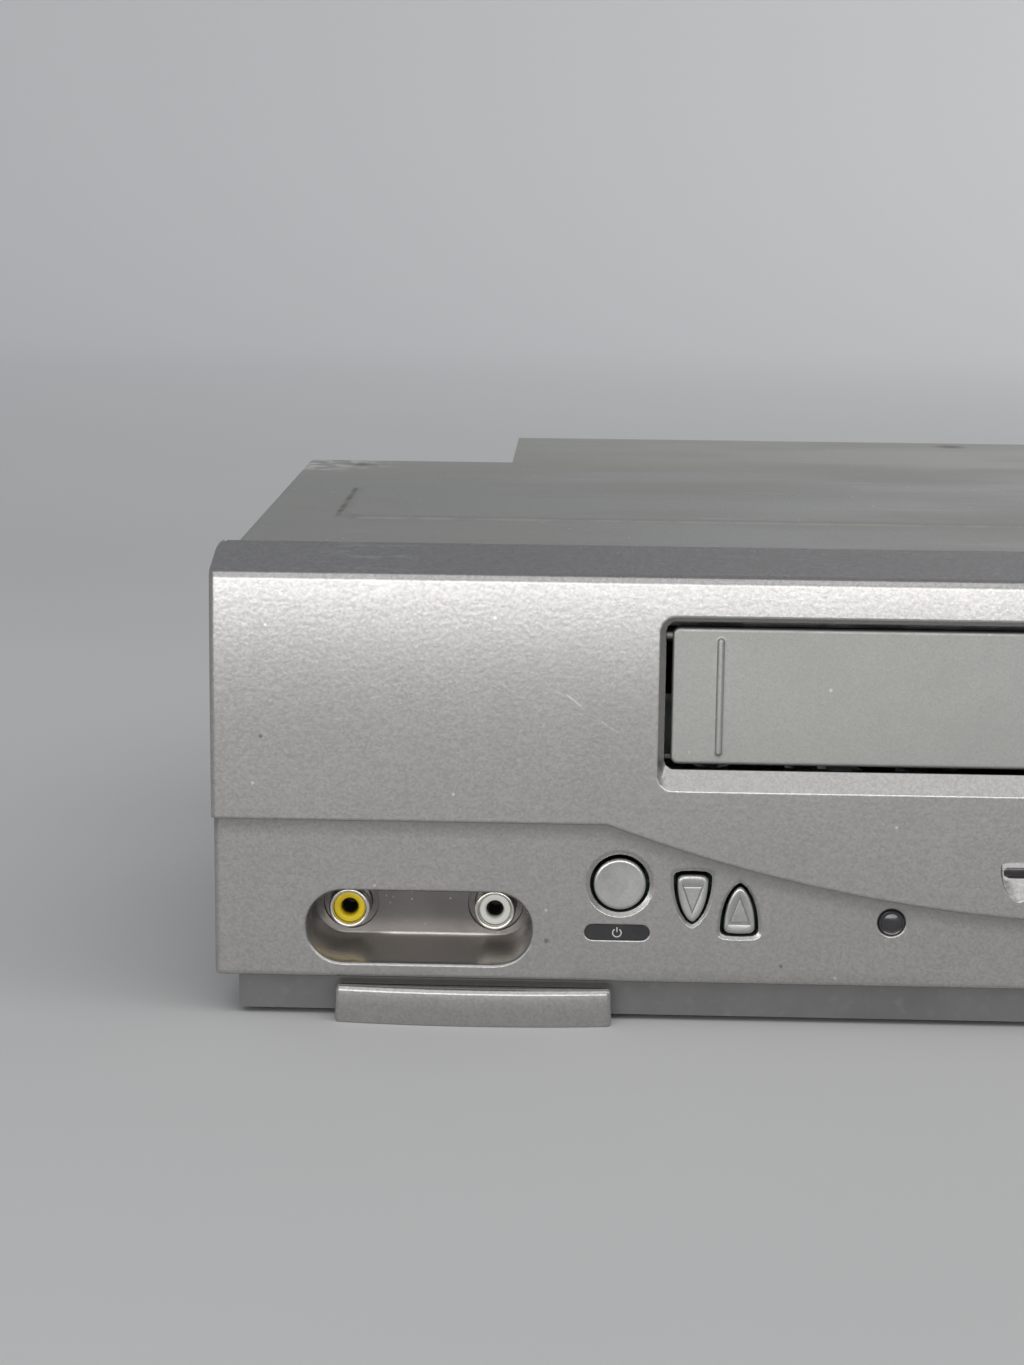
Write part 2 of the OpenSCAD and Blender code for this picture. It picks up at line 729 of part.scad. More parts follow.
module jack_block() {
    y0 = recess_back + recess_wall;
    color(dark) difference() {
        block([jacks_x[0] - 8, jacks_x[1] + 8], [y0, y0 + jack_seat + 6], [jack_z - 8, jack_z + 8]);
        for (x = jacks_x) rod_y(x, y0 - 1, y0 + jack_seat, jack_z, jack_seat_r);
    }
}

module front_board() {
    color(green_board) block(board_x, [board_y, board_y + board_t], [board_z0, board_z1]);
}

module tact_switch(at) {
    block([at[0] - 3, at[0] + 3], [plunger_y + 0.3, board_y], [at[1] - 3, at[1] + 3]);
    rod_y(at[0], plunger_y, plunger_y + 0.5, at[1], 1.6);
}

module front_board_parts() {
    color("#3c3c40") {
        for (p = [[power_x, round_z], down_at, up_at, record_at, pause_at, [-power_x, round_z],
                rewind_at, forward_at, eject_at]) tact_switch(p);
        // Receiver behind the remote lens
        block([lens_at[0] - 3.5, lens_at[0] + 3.5], [board_y - 3, board_y],
            [lens_at[1] - 4, lens_at[1] + 4]);
        // Lamps behind the light pipes
        for (i = [-1:1]) block([i * led_pitch - 2.5, i * led_pitch + 2.5], [board_y - 1.9, board_y],
            [led_z - 1.5, led_z + 1.5]);
    }
}

module screwed_board(x, y) {
    difference() {
        block(x, y, [inner_z, board_top]);
        for (p = board_screws) rod_z(p[0], p[1], inner_z - 1, board_top + 1, pilot_r);
    }
}

module main_board() {
    color(green_board) screwed_board(main_x, main_y);
}

module main_board_parts() {
    z = board_top;
    c = [main_x[0] + 32, main_y[1] - 52];
    color("#303136") {
        block([c[0] - 12, c[0] + 12], [c[1] - 12, c[1] + 12], [z, z + 3]);
        block([c[0] - 20, c[0] - 10], [c[1] + 17, c[1] + 41], [z, z + 4]);
        block([c[0] + 5, c[0] + 15], [c[1] + 17, c[1] + 41], [z, z + 4]);
        block([c[0] - 22, c[0] + 2], [main_y[0] + 4, main_y[0] + 8.5], [z, z + 9]);
        for (i = [0:4]) rod_z(c[0] - 22 + 9 * i, c[1] - 20, z, z + 9, 2.8);
        for (i = [0:3]) rod_z(c[0] - 26, c[1] - 12 + 8 * i, z, z + 11, 2.6);
    }
}

module power_board() {
    color("#8a6a35") screwed_board(power_bx, power_by);
}

module power_board_parts() {
    z = board_top;
    color("#202a55") {
        rod_z(power_bx[0] + 16, power_by[0] + 24, z, z + 34, 9);
        rod_z(power_bx[1] - 12, power_by[0] + 36, z, z + 20, 5);
        for (i = [0:2]) rod_z(power_bx[0] + 7 + 9.5 * i, power_by[1] - 14, z, z + 16, 4);
        block([power_bx[1] - 18, power_bx[1] - 4], [power_by[0] + 10, power_by[0] + 28], [z, z + 14]);
    }
}

module board_components() {
    main_board_parts();
    power_board_parts();
}

module power_transformer() {
    z = board_top;
    x = power_bx[0] + 22;
    y = power_by[0] + 56;
    color("#c9a94a") {
        block([x - 15, x + 15], [y - 13, y + 13], [z, z + 5]);
        block([x - 11, x + 11], [y - 12, y + 12], [z + 4.9, z + 20]);
        block([x - 15, x + 15], [y - 13, y + 13], [z + 19.9, z + 25]);
    }
}

module heat_sink() {
    z = board_top;
    x = power_bx[1] - 12;
    y = power_by[1] - 43;
    color("#a8abb0") {
        block([x, x + 2], [y, y + 42], [z, z + 36]);
        for (i = [0:6]) block([x + 1.9, x + 10], [y + 6.5 * i, y + 6.5 * i + 1.4], [z + 4, z + 36]);
    }
}

module tuner_can() {
    wall = 0.6;
    color(steel) difference() {
        block(tuner_x, tuner_y, tuner_z);
        block([tuner_x[0] + wall, tuner_x[1] - wall], [tuner_y[0] + wall, tuner_y[1] - wall - 1.4],
            [tuner_z[0] - 1, tuner_z[1] - wall]);
        block([channel_at[0] - 6, channel_at[0] + 6], [tuner_y[1] - 3, tuner_y[1] + 1],
            [channel_at[1] - 2.2, channel_at[1] + 2.2]);
    }
}

module aerial_connectors() {
    color("#cbb26a") for (p = aerial_at) difference() {
        union() {
            rod_y(p[0], tuner_y[1], body_d, p[1], aerial_r);
            translate([p[0], tuner_y[1] + fit + rear_t, p[1]]) rotate([-90, 30, 0])
                cylinder(r = 6.4, h = 2, $fn = 6);
        }
        rod_y(p[0], body_d - 8, body_d + 1, p[1], 3.2);
    }
}

module rear_jack_shells() {
    color("#d8d8d6") for (x = rear_jack_x) for (z = rear_jack_z) difference() {
        union() {
            rod_y(x, case_d, case_d + rear_jack_l, z, jack_r);
            rod_y(x, rear_in - 4, case_d + 0.1, z, jack_seat_r);
        }
        rod_y(x, rear_in - 5, case_d + rear_jack_l + 1, z, jack_r - jack_wall);
    }
}

module rear_jack_inserts() {
    for (i = [0, 1]) color(i == 0 ? "#f2c500" : "#ece9df") for (z = rear_jack_z) difference() {
        rod_y(rear_jack_x[i], rear_in - 4, case_d + rear_jack_l - 1, z, jack_r - jack_wall - insert_gap);
        rod_y(rear_jack_x[i], case_d - 1, case_d + rear_jack_l, z, jack_bore_r);
    }
}

module rear_jack_block() {
    color(dark) difference() {
        block([rear_jack_x[0] - 9, rear_jack_x[1] + 9], [rear_in - 10, rear_in - fit],
            [rear_jack_z[0] - 9, rear_jack_z[1] + 9]);
        for (x = rear_jack_x) for (z = rear_jack_z) rod_y(x, rear_in - 4, rear_in + 1, z, jack_seat_r);
    }
}

module channel_switch() {
    x = channel_at[0] - channel_travel / 2;
    color(dark) {
        block([x - 3.5, x + 3.5], [tuner_y[1] - 1.2, rear_in - 0.05],
            [channel_at[1] - 2, channel_at[1] + 2]);
        block([x - 1.8, x + 1.8], [rear_in - 0.2, case_d + 1.5],
            [channel_at[1] - 1.5, channel_at[1] + 1.5]);
    }
}

module cord_gland() {
    y = notch_y;
    color(dark) difference() {
        union() {
            rod_y(gland_at[0], y - rear_t - 5, y + 9, gland_at[1], gland_r);
            rod_y(gland_at[0], y, y + 2, gland_at[1], gland_r + 2);
            rod_y(gland_at[0], y - rear_t - 2, y - rear_t, gland_at[1], gland_r + 1.4);
        }
        rod_y(gland_at[0], y - 20, y + 10, gland_at[1], 2.6);
    }
}

module guide_slot(s) {
    a = atan2(guide_run[1], s * guide_run[0]);
    l = norm(guide_run);
    translate([deck_x + s * guide_x, guide_y, deck_z - 1]) rotate([0, 0, a])
        translate([-3, -1.8, 0]) cube([l + 6, 3.6, deck_t + 2]);
}

module deck_plate() {
    color("#c0c2c0") {
        difference() {
            block(plate_x, plate_y, [deck_z, plate_top]);
            for (s = [-1, 1]) guide_slot(s);
            rod_z(capstan_at[0], capstan_at[1], deck_z - 1, plate_top + 1, 4);
            for (p = deck_screws) rod_z(p[0], p[1], deck_z - 1, plate_top + 1, pilot_r);
        }
        for (s = [-1, 1]) {
            rod_z(deck_x + s * reel_pitch / 2, reel_y, deck_z + 0.2, spindle_top - 3, reel_post_r);
            rod_z(deck_x + s * reel_pitch / 2, reel_y, deck_z + 0.2, reel_z - fit, 4);
        }
        rod_z(pinch_pivot[0], pinch_pivot[1], deck_z + 0.2, pinch_z + 4, arm_pin_r);
        rod_z(pinch_pivot[0], pinch_pivot[1], deck_z + 0.2, pinch_z - fit, 4);
        rod_z(tension_pivot[0], tension_pivot[1], deck_z + 0.2, plate_top + 6, arm_pin_r);
        rod_z(cam_at[0], cam_at[1], deck_z + 0.2, cam_z + cam_h + 1, arm_pin_r);
        rod_z(cam_at[0], cam_at[1], deck_z + 0.2, cam_z - fit, 4);
    }
}

module frame_side(s) {
    x0 = s > 0 ? deck_x + frame_in : deck_x - frame_out;
    difference() {
        block([x0, x0 + frame_t], frame_y, [plate_top, frame_top]);
        // Channel for the slider pins
        block([x0 - 1, x0 + frame_t + 1],
            [pin_y[0] - pin_r - slot_gap, pin_y[1] + pin_r + slot_gap + load_travel],
            [slider_pin_z - pin_r - slot_gap, slider_pin_z + pin_r + slot_gap]);
        block([x0 - 1, x0 + frame_t + 1], [frame_y[0] + 12, frame_y[1] - 14],
            [plate_top + 8, plate_top + 26]);
    }
}

module holder_frame() {
    color(steel) {
        for (s = [-1, 1]) frame_side(s);
        // Stay across the top at the back
        block([deck_x - frame_out, deck_x + frame_out], [frame_y[1] - 10, frame_y[1]],
            [frame_top - 0.1, frame_top + frame_t]);
    }
}

module holder_slider() {
    z0 = holder_pin_z - drop_travel - 6;
    color("#9fa2a6") {
        for (s = [-1, 1]) {
            x0 = s > 0 ? deck_x + slider_in : deck_x - slider_out;
            difference() {
                block([x0, x0 + slider_t], slider_y, [z0, slider_pin_z + 3]);
                for (y = pin_y) block([x0 - 1, x0 + slider_t + 1],
                    [y - pin_r - slot_gap, y + pin_r + slot_gap],
                    [holder_pin_z - drop_travel - pin_r - slot_gap, holder_pin_z + pin_r + slot_gap]);
            }
            for (y = pin_y) rod_x(s > 0 ? deck_x + slider_out - 0.2 : deck_x - frame_out,
                s > 0 ? deck_x + frame_out : deck_x - slider_out + 0.2, y, slider_pin_z, pin_r);
        }
        // Stay that joins the two sides over the holder
        block([deck_x - slider_out, deck_x + slider_out], [slider_y[1] - 8, slider_y[1]],
            [slider_pin_z + 2.9, slider_pin_z + 4]);
    }
}

module cassette_holder() {
    side_in = holder_w / 2;
    back = holder_y + holder_d;
    color("#8d9094") {
        for (s = [-1, 1]) {
            x0 = s > 0 ? deck_x + side_in : deck_x - side_in - holder_t;
            block([x0, x0 + holder_t], [holder_y, back], [holder_bottom - tray_t, holder_top + holder_t]);
            x1 = s > 0 ? deck_x + side_in - ledge_w : deck_x - side_in - 0.1;
            block([x1, x1 + ledge_w + 0.1], [holder_y, back], [holder_bottom - tray_t, holder_bottom]);
            for (y = pin_y) rod_x(s > 0 ? deck_x + holder_side - 0.2 : deck_x - slider_out,
                s > 0 ? deck_x + slider_out : deck_x - holder_side + 0.2, y, holder_pin_z, pin_r);
        }
        difference() {
            block([deck_x - side_in - 0.1, deck_x + side_in + 0.1], [holder_y, back],
                [holder_top, holder_top + holder_t]);
            for (s = [-1, 1]) block([deck_x + s * 45 - 20, deck_x + s * 45 + 20],
                [holder_y + 12, holder_y + 40], [holder_top - 1, holder_top + 2]);
        }
    }
}

module drum_axis() {
    translate([deck_x, drum_y, drum_z]) rotate([0, drum_tilt, 0]) children();
}

module lower_drum() {
    color("#cfd1d3") {
        difference() {
            drum_axis() union() {
                cylinder(r = drum_r, h = lower_drum_h);
                translate([0, 0, -1.5]) cylinder(r = 9, h = 2);
            }
            drum_axis() translate([0, 0, -3]) cylinder(r = 3 + run_gap, h = lower_drum_h + 6);
            drum_axis() translate([0, 0, lower_drum_h - 4]) difference() {
                cylinder(r = drum_r - 3, h = 5);
                translate([0, 0, -1]) cylinder(r = 8, h = 7);
            }
        }
        for (a = [90, 210, 330])
            rod_z(deck_x + 22 * cos(a), drum_y + 22 * sin(a), plate_top, drum_z + 4, 3);
    }
}

module upper_drum() {
    color("#dfe1e3") drum_axis() {
        difference() {
            translate([0, 0, lower_drum_h + part_gap]) cylinder(r = drum_r, h = upper_drum_h);
            translate([0, 0, lower_drum_h + part_gap + upper_drum_h - 3]) difference() {
                cylinder(r = drum_r - 5, h = 4);
                translate([0, 0, -1]) cylinder(r = 12, h = 6);
            }
            for (a = [45:90:315]) rotate(a) translate([drum_r - 5, -1.5, lower_drum_h]) cube([6, 3, 1.6]);
        }
        translate([0, 0, -1]) cylinder(r = 3, h = lower_drum_h + 5);
    }
}

module capstan() {
    fly_top = deck_z - 3.4;
    color("#d9dadb") {
        rod_z(capstan_at[0], capstan_at[1], fly_top - 4, capstan_top, capstan_r);
        rod_z(capstan_at[0], capstan_at[1], fly_top - 5, fly_top, flywheel_r);
    }
}

module capstan_motor() {
    fly_top = deck_z - 3.4;
    color("#9a7a3a") difference() {
        union() {
            rod_z(capstan_at[0], capstan_at[1], fly_top + 1.2, deck_z, flywheel_r - 4);
            rod_z(capstan_at[0], capstan_at[1], fly_top + 1.2, plate_top + 10, 3.9);
        }
        rod_z(capstan_at[0], capstan_at[1], fly_top - 1, plate_top + 12, capstan_r + run_gap);
    }
}

module pinch_arm() {
    color("#b9bbbd") difference() {
        union() {
            rod_z(pinch_pivot[0], pinch_pivot[1], pinch_z, pinch_z + 3, 5);
            rod_z(pinch_rest[0], pinch_rest[1], pinch_z, pinch_z + 3, 4);
            translate([pinch_pivot[0], pinch_pivot[1], pinch_z]) rotate([0, 0, pinch_a])
                translate([0, -3, 0]) cube([pinch_l, 6, 3]);
            rod_z(pinch_rest[0], pinch_rest[1], pinch_z, pinch_z + 15.5, 1.5);
        }
        rod_z(pinch_pivot[0], pinch_pivot[1], pinch_z - 1, pinch_z + 5, arm_pin_r + run_gap);
    }
}

module pinch_roller() {
    color("#1d1d1f") difference() {
        rod_z(pinch_rest[0], pinch_rest[1], pinch_z + 3 + fit, pinch_z + 14.5, pinch_r);
        rod_z(pinch_rest[0], pinch_rest[1], pinch_z, pinch_z + 20, 1.5 + run_gap);
    }
}

module reel(s) {
    color("#2f3033") translate([deck_x + s * reel_pitch / 2, reel_y, 0]) difference() {
        union() {
            rod_z(0, 0, reel_z, reel_top, reel_r);
            rod_z(0, 0, reel_top - 0.1, spindle_top, 3.6);
            for (a = [0:60:300]) rotate(a) translate([0, -0.8, reel_top - 0.1])
                cube([6, 1.6, spindle_top - reel_top - 4]);
        }
        rod_z(0, 0, reel_z - 1, spindle_top - 2, reel_post_r + run_gap);
    }
}

module supply_reel() { reel(-1); }
module take_up_reel() { reel(1); }

module tape_guide(s) {
    x = deck_x + s * guide_x;
    h = guide_size / 2;
    color("#caa24c") {
        block([x - h, x + h], [guide_y - h, guide_y + h], [plate_top + 0.15, plate_top + 5]);
        rod_z(x, guide_y, deck_z - 1.5, plate_top + 1, 1.5);
        rod_z(x, guide_y, deck_z - 2.5, deck_z - 1, 3);
        rod_z(x, guide_y + 1, plate_top + 4.9, plate_top + 28, 2);
        rod_z(x, guide_y + 1, plate_top + 25, plate_top + 28, 3);
    }
}

module supply_guide() { tape_guide(-1); }
module take_up_guide() { tape_guide(1); }

module tape_heads() {
    color("#c6c8ca") {
        // Erase head on the supply side
        block([deck_x - 62, deck_x - 52], [drum_y - 27, drum_y - 19], [plate_top, plate_top + 4]);
        block([deck_x - 60, deck_x - 54], [drum_y - 26, drum_y - 20], [plate_top + 3.9, plate_top + 26]);
        // Sound and control head on the take-up side
        block([deck_x + 46, deck_x + 55], [drum_y - 25, drum_y - 17], [plate_top, plate_top + 4]);
        block([deck_x + 47.5, deck_x + 53.5], [drum_y - 24, drum_y - 18], [plate_top + 3.9, plate_top + 26]);
    }
}

module tension_arm() {
    color("#b9bbbd") difference() {
        union() {
            rod_z(tension_pivot[0], tension_pivot[1], plate_top + fit, plate_top + 3, 4.5);
            translate([tension_pivot[0], tension_pivot[1], plate_top + fit]) rotate([0, 0, -50])
                translate([0, -2.5, 0]) cube([tension_l, 5, 2]);
            translate([tension_pivot[0], tension_pivot[1], plate_top + fit]) rotate([0, 0, -50])
                translate([tension_l - 2, 0, 0]) cylinder(r = 2, h = 26);
        }
        rod_z(tension_pivot[0], tension_pivot[1], plate_top - 1, plate_top + 5, arm_pin_r + run_gap);
    }
}

module loading_motor() {
    x = cam_at[0] - 16;
    color("#b2b4b8") {
        rod_x(x - 24, x - 2, worm_y, motor_z, motor_r);
        rod_x(x - 3, cam_at[0] + 7, worm_y, motor_z, 1);
        block([x - 22, x - 4], [worm_y - 6, worm_y + 6], [plate_top, motor_z - 5]);
    }
}

module loading_worm() {
    x = cam_at[0] - 16;
    color("#e6e1cf") difference() {
        rod_x(x - 1.4, cam_at[0] + 12, worm_y, motor_z, worm_r);
        rod_x(x - 2, cam_at[0] + 8, worm_y, motor_z, 1 + run_gap);
    }
}

module cam_gear() {
    depth = 2.2;
    color("#e8e4d4") difference() {
        translate([cam_at[0], cam_at[1], cam_z]) union() {
            cylinder(r = cam_r - depth, h = cam_h);
            linear_extrude(cam_h) polygon([for (i = [0:cam_teeth * 4 - 1])
                let(a = 360 * i / (cam_teeth * 4), r = (i % 4 < 2) ? cam_r : cam_r - depth)
                    [r * cos(a), r * sin(a)]]);
        }
        rod_z(cam_at[0], cam_at[1], cam_z - 1, cam_z + cam_h + 1, arm_pin_r + run_gap);
    }
}

// Moves a piece from the front face to the centre of the footprint.
module place() { translate([0, -body_d / 2, 0]) children(); }

place() front_panel();
place() top_cover();
place() chassis();
place() rear_panel();
place() cassette_door();
place() door_spring();
place() power_button();
place() channel_down_button();
place() channel_up_button();
place() record_button();
place() pause_button();
place() play_button();
place() rewind_button();
place() fast_forward_button();
place() stop_eject_button();
place() indicator_lenses();
place() remote_lens();
place() standby_window();
place() front_foot_left();
place() front_foot_right();
place() rear_feet();
place() screws();
place() video_jack_shell();
place() video_jack_insert();
place() audio_jack_shell();
place() audio_jack_insert();
place() jack_block();
place() front_board();
place() front_board_parts();
place() main_board();
place() power_board();
place() board_components();
place() power_transformer();
place() heat_sink();
place() tuner_can();
place() aerial_connectors();
place() rear_jack_shells();
place() rear_jack_inserts();
place() rear_jack_block();
place() channel_switch();
place() cord_gland();
place() deck_plate();
place() holder_frame();
place() holder_slider();
place() cassette_holder();
place() lower_drum();
place() upper_drum();
place() capstan();
place() capstan_motor();
place() pinch_arm();
place() pinch_roller();
place() supply_reel();
place() take_up_reel();
place() supply_guide();
place() take_up_guide();
place() tape_heads();
place() tension_arm();
place() loading_motor();
place() loading_worm();
place() cam_gear();
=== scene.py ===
"""A compact front-loading video cassette recorder, dressed for rendering.

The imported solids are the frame. The tape deck, the boards and the small hardware keep their own shapes and
get their finishes here. The casing, the caps, the sockets and the feet are made again with rolled edges,
countersunk holes, scooped lamp windows and moulded symbols, in the places that the solids have.

Lengths below are in millimetres: X across, depth back from the front face, Z up from the table.
"""

import json
from math import cos, pi, radians, sin, tan

import bmesh
import bpy
import numpy as np
from mathutils import Matrix, Vector


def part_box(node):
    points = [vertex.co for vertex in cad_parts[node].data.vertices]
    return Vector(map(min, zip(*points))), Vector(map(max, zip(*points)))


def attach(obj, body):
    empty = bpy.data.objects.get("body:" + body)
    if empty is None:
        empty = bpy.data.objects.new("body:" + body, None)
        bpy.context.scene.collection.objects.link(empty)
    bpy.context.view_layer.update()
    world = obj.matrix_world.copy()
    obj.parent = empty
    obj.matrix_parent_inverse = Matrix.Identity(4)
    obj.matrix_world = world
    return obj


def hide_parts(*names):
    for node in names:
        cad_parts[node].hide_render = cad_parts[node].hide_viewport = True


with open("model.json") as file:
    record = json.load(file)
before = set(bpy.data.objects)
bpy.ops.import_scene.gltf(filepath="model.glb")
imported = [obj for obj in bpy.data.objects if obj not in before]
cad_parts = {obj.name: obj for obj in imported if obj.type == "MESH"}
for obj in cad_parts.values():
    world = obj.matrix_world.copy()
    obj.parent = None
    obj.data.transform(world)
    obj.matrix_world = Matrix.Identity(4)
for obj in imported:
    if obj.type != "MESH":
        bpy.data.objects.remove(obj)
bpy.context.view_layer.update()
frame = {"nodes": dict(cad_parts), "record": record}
MM = 0.001


def span(node):
    """Lowest and highest corner of a node in millimetres, with depth counted from the front face."""
    return [np.array(corner) / MM - (0, FRONT, 0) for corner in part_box(node)]


# Camera: the place and the turns that put the recorder's edges where the photograph has them
LENS = 70.26
CAMERA_AT = (-0.107296, -0.613032, 0.170739)
CAMERA_TILT = radians(11.422)
CAMERA_ROLL = radians(0.612)
CAMERA_YAW = radians(-1.622)

# Lamps: place and size in metres, power in watts
LAMPS = {
    "front": ((-0.35, -2.1, 0.18), (2.4, 0.32), 12.9),
    "between": ((-0.35, -2.0, 0.64), (2.4, 0.56), 4.2),
    "side": ((1.7, -0.6, 1.2), (1.0, 1.0), 5),
    "high": ((0.1, -1.1, 1.5), (2.8, 1.8), 16.4),
    "rear": ((0.8, 1.9, 0.95), (1.8, 0.8), 5),
}
LAMPS_AIM = (0, 0, 0.05)
AIR_COLOUR, AIR_LIGHT = (0.9, 0.93, 1, 1), 0.29

# Casing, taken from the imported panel, cover and chassis
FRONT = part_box("front_panel")[0][1] / MM
(_, _, PANEL_LOW), (HALF_W, _, PANEL_TOP) = span("front_panel")
(_, COVER_Y0, COVER_LOW), (COVER_X, COVER_Y1, _) = span("top_cover")
BEVEL_D = COVER_Y0 - 0.1
BEVEL_Z = PANEL_TOP - 4.3
COVER_FLAT = PANEL_TOP - 0.6
NOTCH_X, NOTCH_Y = 53.6 - HALF_W, 157.0
STEP_BACK, STEP_Z = 4.0, 41.4
SWEEP_HALF, SWEEP_DROP = 102.6, 18.2
SWEEP_R = (SWEEP_HALF**2 + SWEEP_DROP**2) / (2 * SWEEP_DROP)
FACE_CROWN, CROWN_FROM = 1.1, 48
PANEL_T, RECESS_T, COVER_T = 1.2, 1.0, 0.8
HOLE_WALL = 2.4
CREASE = radians(34)

# Front panel: where the rows and columns of its grid are cut, and the rows between the cuts
SPLIT_Z = 21.35
DOOR_ROWS = (47.1, 84.6)
DOOR_CUTS = (-97.0, 105.0)
CELL_CUTS = (-109.5, -91.5, -81.05, -70.0, -38.0, 50.0, 68.0, 88.0, 110.0, 125.0, 139.5)
ROWS_TO_STEP, ROWS_TO_BAY, ROWS_OF_BAY = 7, 8, 12
ROWS_BELOW_SPLIT, BEND_COLS = 25, 9

# What the front carries: places across and up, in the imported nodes' places
LAMP_X, LAMP_Z, LAMP_CELL = (-22.6, 0.0, 22.6), 33, 6
RECESS_AT, RECESS_BACK = (-139.5, 18.95), 19.1
SOCKET_X, SOCKET_Z = {"video": -154.15, "audio": -124.85}, 19.8
POCKET_R, POCKET_CELL = 5.6, 6.6
WINDOW_AT = (-100.4, 18.8)
EYE_AT = (-46.6, 21.8)
FLAP_AT = (4, 66.5)
RIB_AT = (-81.4, 66.4)
FOOT_X = 128.6
LAMP_CUTS = [x + s for x in LAMP_X for s in (-LAMP_CELL, LAMP_CELL)]
PANEL_CUTS = [*CELL_CUTS, *DOOR_CUTS, -SWEEP_HALF, SWEEP_HALF, *LAMP_CUTS]

# Keys: the cell of the lower face that holds each one's hole, and its outline as a function of how much it
# grows. Each name is also that of the body that the key moves with.
KEYS = {
    "power_button": (1, lambda g: disc(5.15 + g, (-100, 28.7))),
    "play_button": (8, lambda g: disc(5.15 + g, (100, 28.7))),
    "channel_down_button": (2, lambda g: arch(6.1 + 2 * g, 9.5 + 2 * g, (-85.7, 26.1), -1)),
    "channel_up_button": (3, lambda g: arch(6.1 + 2 * g, 9.5 + 2 * g, (-76.4, 23.8), 1)),
    "record_button": (6, lambda g: disc(3.2 + g, (60, 19.6))),
    "pause_button": (7, lambda g: disc(3.2 + g, (76, 22))),
    "rewind_button": (9, lambda g: arch(6.1 + 2 * g, 9.5 + 2 * g, (119, 26), -1)),
    "fast_forward_button": (10, lambda g: arch(6.1 + 2 * g, 9.5 + 2 * g, (131, 26), 1)),
    "stop_eject_button": (11, lambda g: rounded(13 + 2 * g, 9.5 + 2 * g, 3 + g, (150, 26))),
}
BIG_KEYS = ("power_button", "play_button")
CAP_GAP = 0.7

# Paint scratches on the upper face: start, end and strength
SCRATCHES = (((-111.5, 67.6), (-107.4, 64.5), 0.6), ((-104.7, 62.4), (-100.6, 59.7), 0.3))


# Outlines: closed loops of flat places, anticlockwise as seen from in front or above
def unit(turn):
    """Direction of each angle."""
    return np.stack([np.cos(turn), np.sin(turn)], -1)


def rounded(w, h, r, at, n=14):
    """Rounded rectangle: four quarter circles of radius r, with straights between them, n places on each."""
    r = min(r, w / 2, h / 2)
    quarter = np.arange(4)[:, None]
    t = np.arange(n)[None, :] / n
    mid = (np.array([[1, 1], [-1, 1], [-1, -1], [1, -1]]) * (w / 2 - r, h / 2 - r))[:, None]
    arc = mid + r * unit((quarter + t) * pi / 2)
    last = mid + r * unit((quarter + 1) * pi / 2)
    side = last + (np.roll(arc[:, :1], -1, axis=0) - last) * t[..., None]
    return np.concatenate([arc, side], 1).reshape(-1, 2) + at


def disc(r, at):
    """Circle of radius r."""
    return rounded(2 * r, 2 * r, r, at)


def growing(w, h, r, at):
    """Rounded rectangle as a function of how much it grows on every side."""
    return lambda g: rounded(w + 2 * g, h + 2 * g, r + g, at)


def arch(w, h, at, way, n=40):
    """Arch: half width w/2 (1 - t^2)^0.62 as t rises from foot to tip, on a foot whose corners are quarter
    ellipses; way -1 stands it on its tip."""
    t = 1 - (1 - np.linspace(0, 1, n)) ** 2
    side = np.stack([w / 2 * (1 - t**2) ** 0.62, 0.87 * h * t - 0.37 * h], -1)
    turn = np.linspace(0, pi / 2, 9)
    corner = np.stack([0.3 * w + 0.2 * w * np.sin(turn), -0.37 * h - 0.12 * h * np.cos(turn)], -1)[:-1]
    x = np.linspace(-0.3, 0.3, n)[1:-1]
    foot = np.stack([x * w, -h * (0.49 + 0.01 * (1 - (x / 0.3) ** 2))], -1)
    return np.concatenate([side, side[-2::-1] * (-1, 1), corner[::-1] * (-1, 1), foot, corner]) * way + at


def polygon(corners, n=12):
    """Straight-sided loop with n places on each side."""
    corners = np.array(corners, float)
    t = np.arange(n)[None, :, None] / n
    return (corners[:, None] + (np.roll(corners, -1, axis=0) - corners)[:, None] * t).reshape(-1, 2)


def bearings(places):
    """Direction of each place from the middle of them all, with their width and height taken as equal."""
    low, high = places.min(0), places.max(0)
    return np.arctan2(*((places - (low + high) / 2) / (high - low)).T[::-1])


def places_along(outline, corners, counts):
    """Where counts of steps fall on a loop, between the bearings of the four corners of the block round it.
    The steps are even in length plus 4 mm for each radian of turn, so tight bends get more of them."""
    step = np.diff(np.vstack([outline, outline[:1]]), axis=0)
    length = np.hypot(*step.T)
    kept = np.maximum.accumulate(np.where(length > 1e-9, np.arange(len(length)), 0))
    heading = np.unwrap(np.arctan2(step[:, 1], step[:, 0])[kept])
    turn = np.abs(np.diff(heading, prepend=heading[-1] - 2 * pi))
    run = np.concatenate([[0], np.cumsum(np.tile(length + 4 * turn, 2))])
    away = np.abs((bearings(outline)[None] - bearings(corners)[:, None] + pi) % (2 * pi) - pi)
    first = away.argmin(1)
    total = len(outline)
    stops = first + np.concatenate([[0], np.cumsum(np.diff(first) < 0)]) * total
    stops = np.append(stops, stops[0] + total)
    marks = [np.linspace(run[a], run[b], n + 1)[:-1] for a, b, n in zip(stops[:-1], stops[1:], counts)]
    return np.interp(np.concatenate(marks) % run[total], run[: total + 1], np.arange(total + 1))


def picked(outline, at):
    """The places of a loop at whole and part numbers of steps along it."""
    loop = np.vstack([outline, outline[:1]])
    steps = np.arange(len(loop))
    return np.stack([np.interp(at, steps, loop[:, k]) for k in (0, 1)], -1)


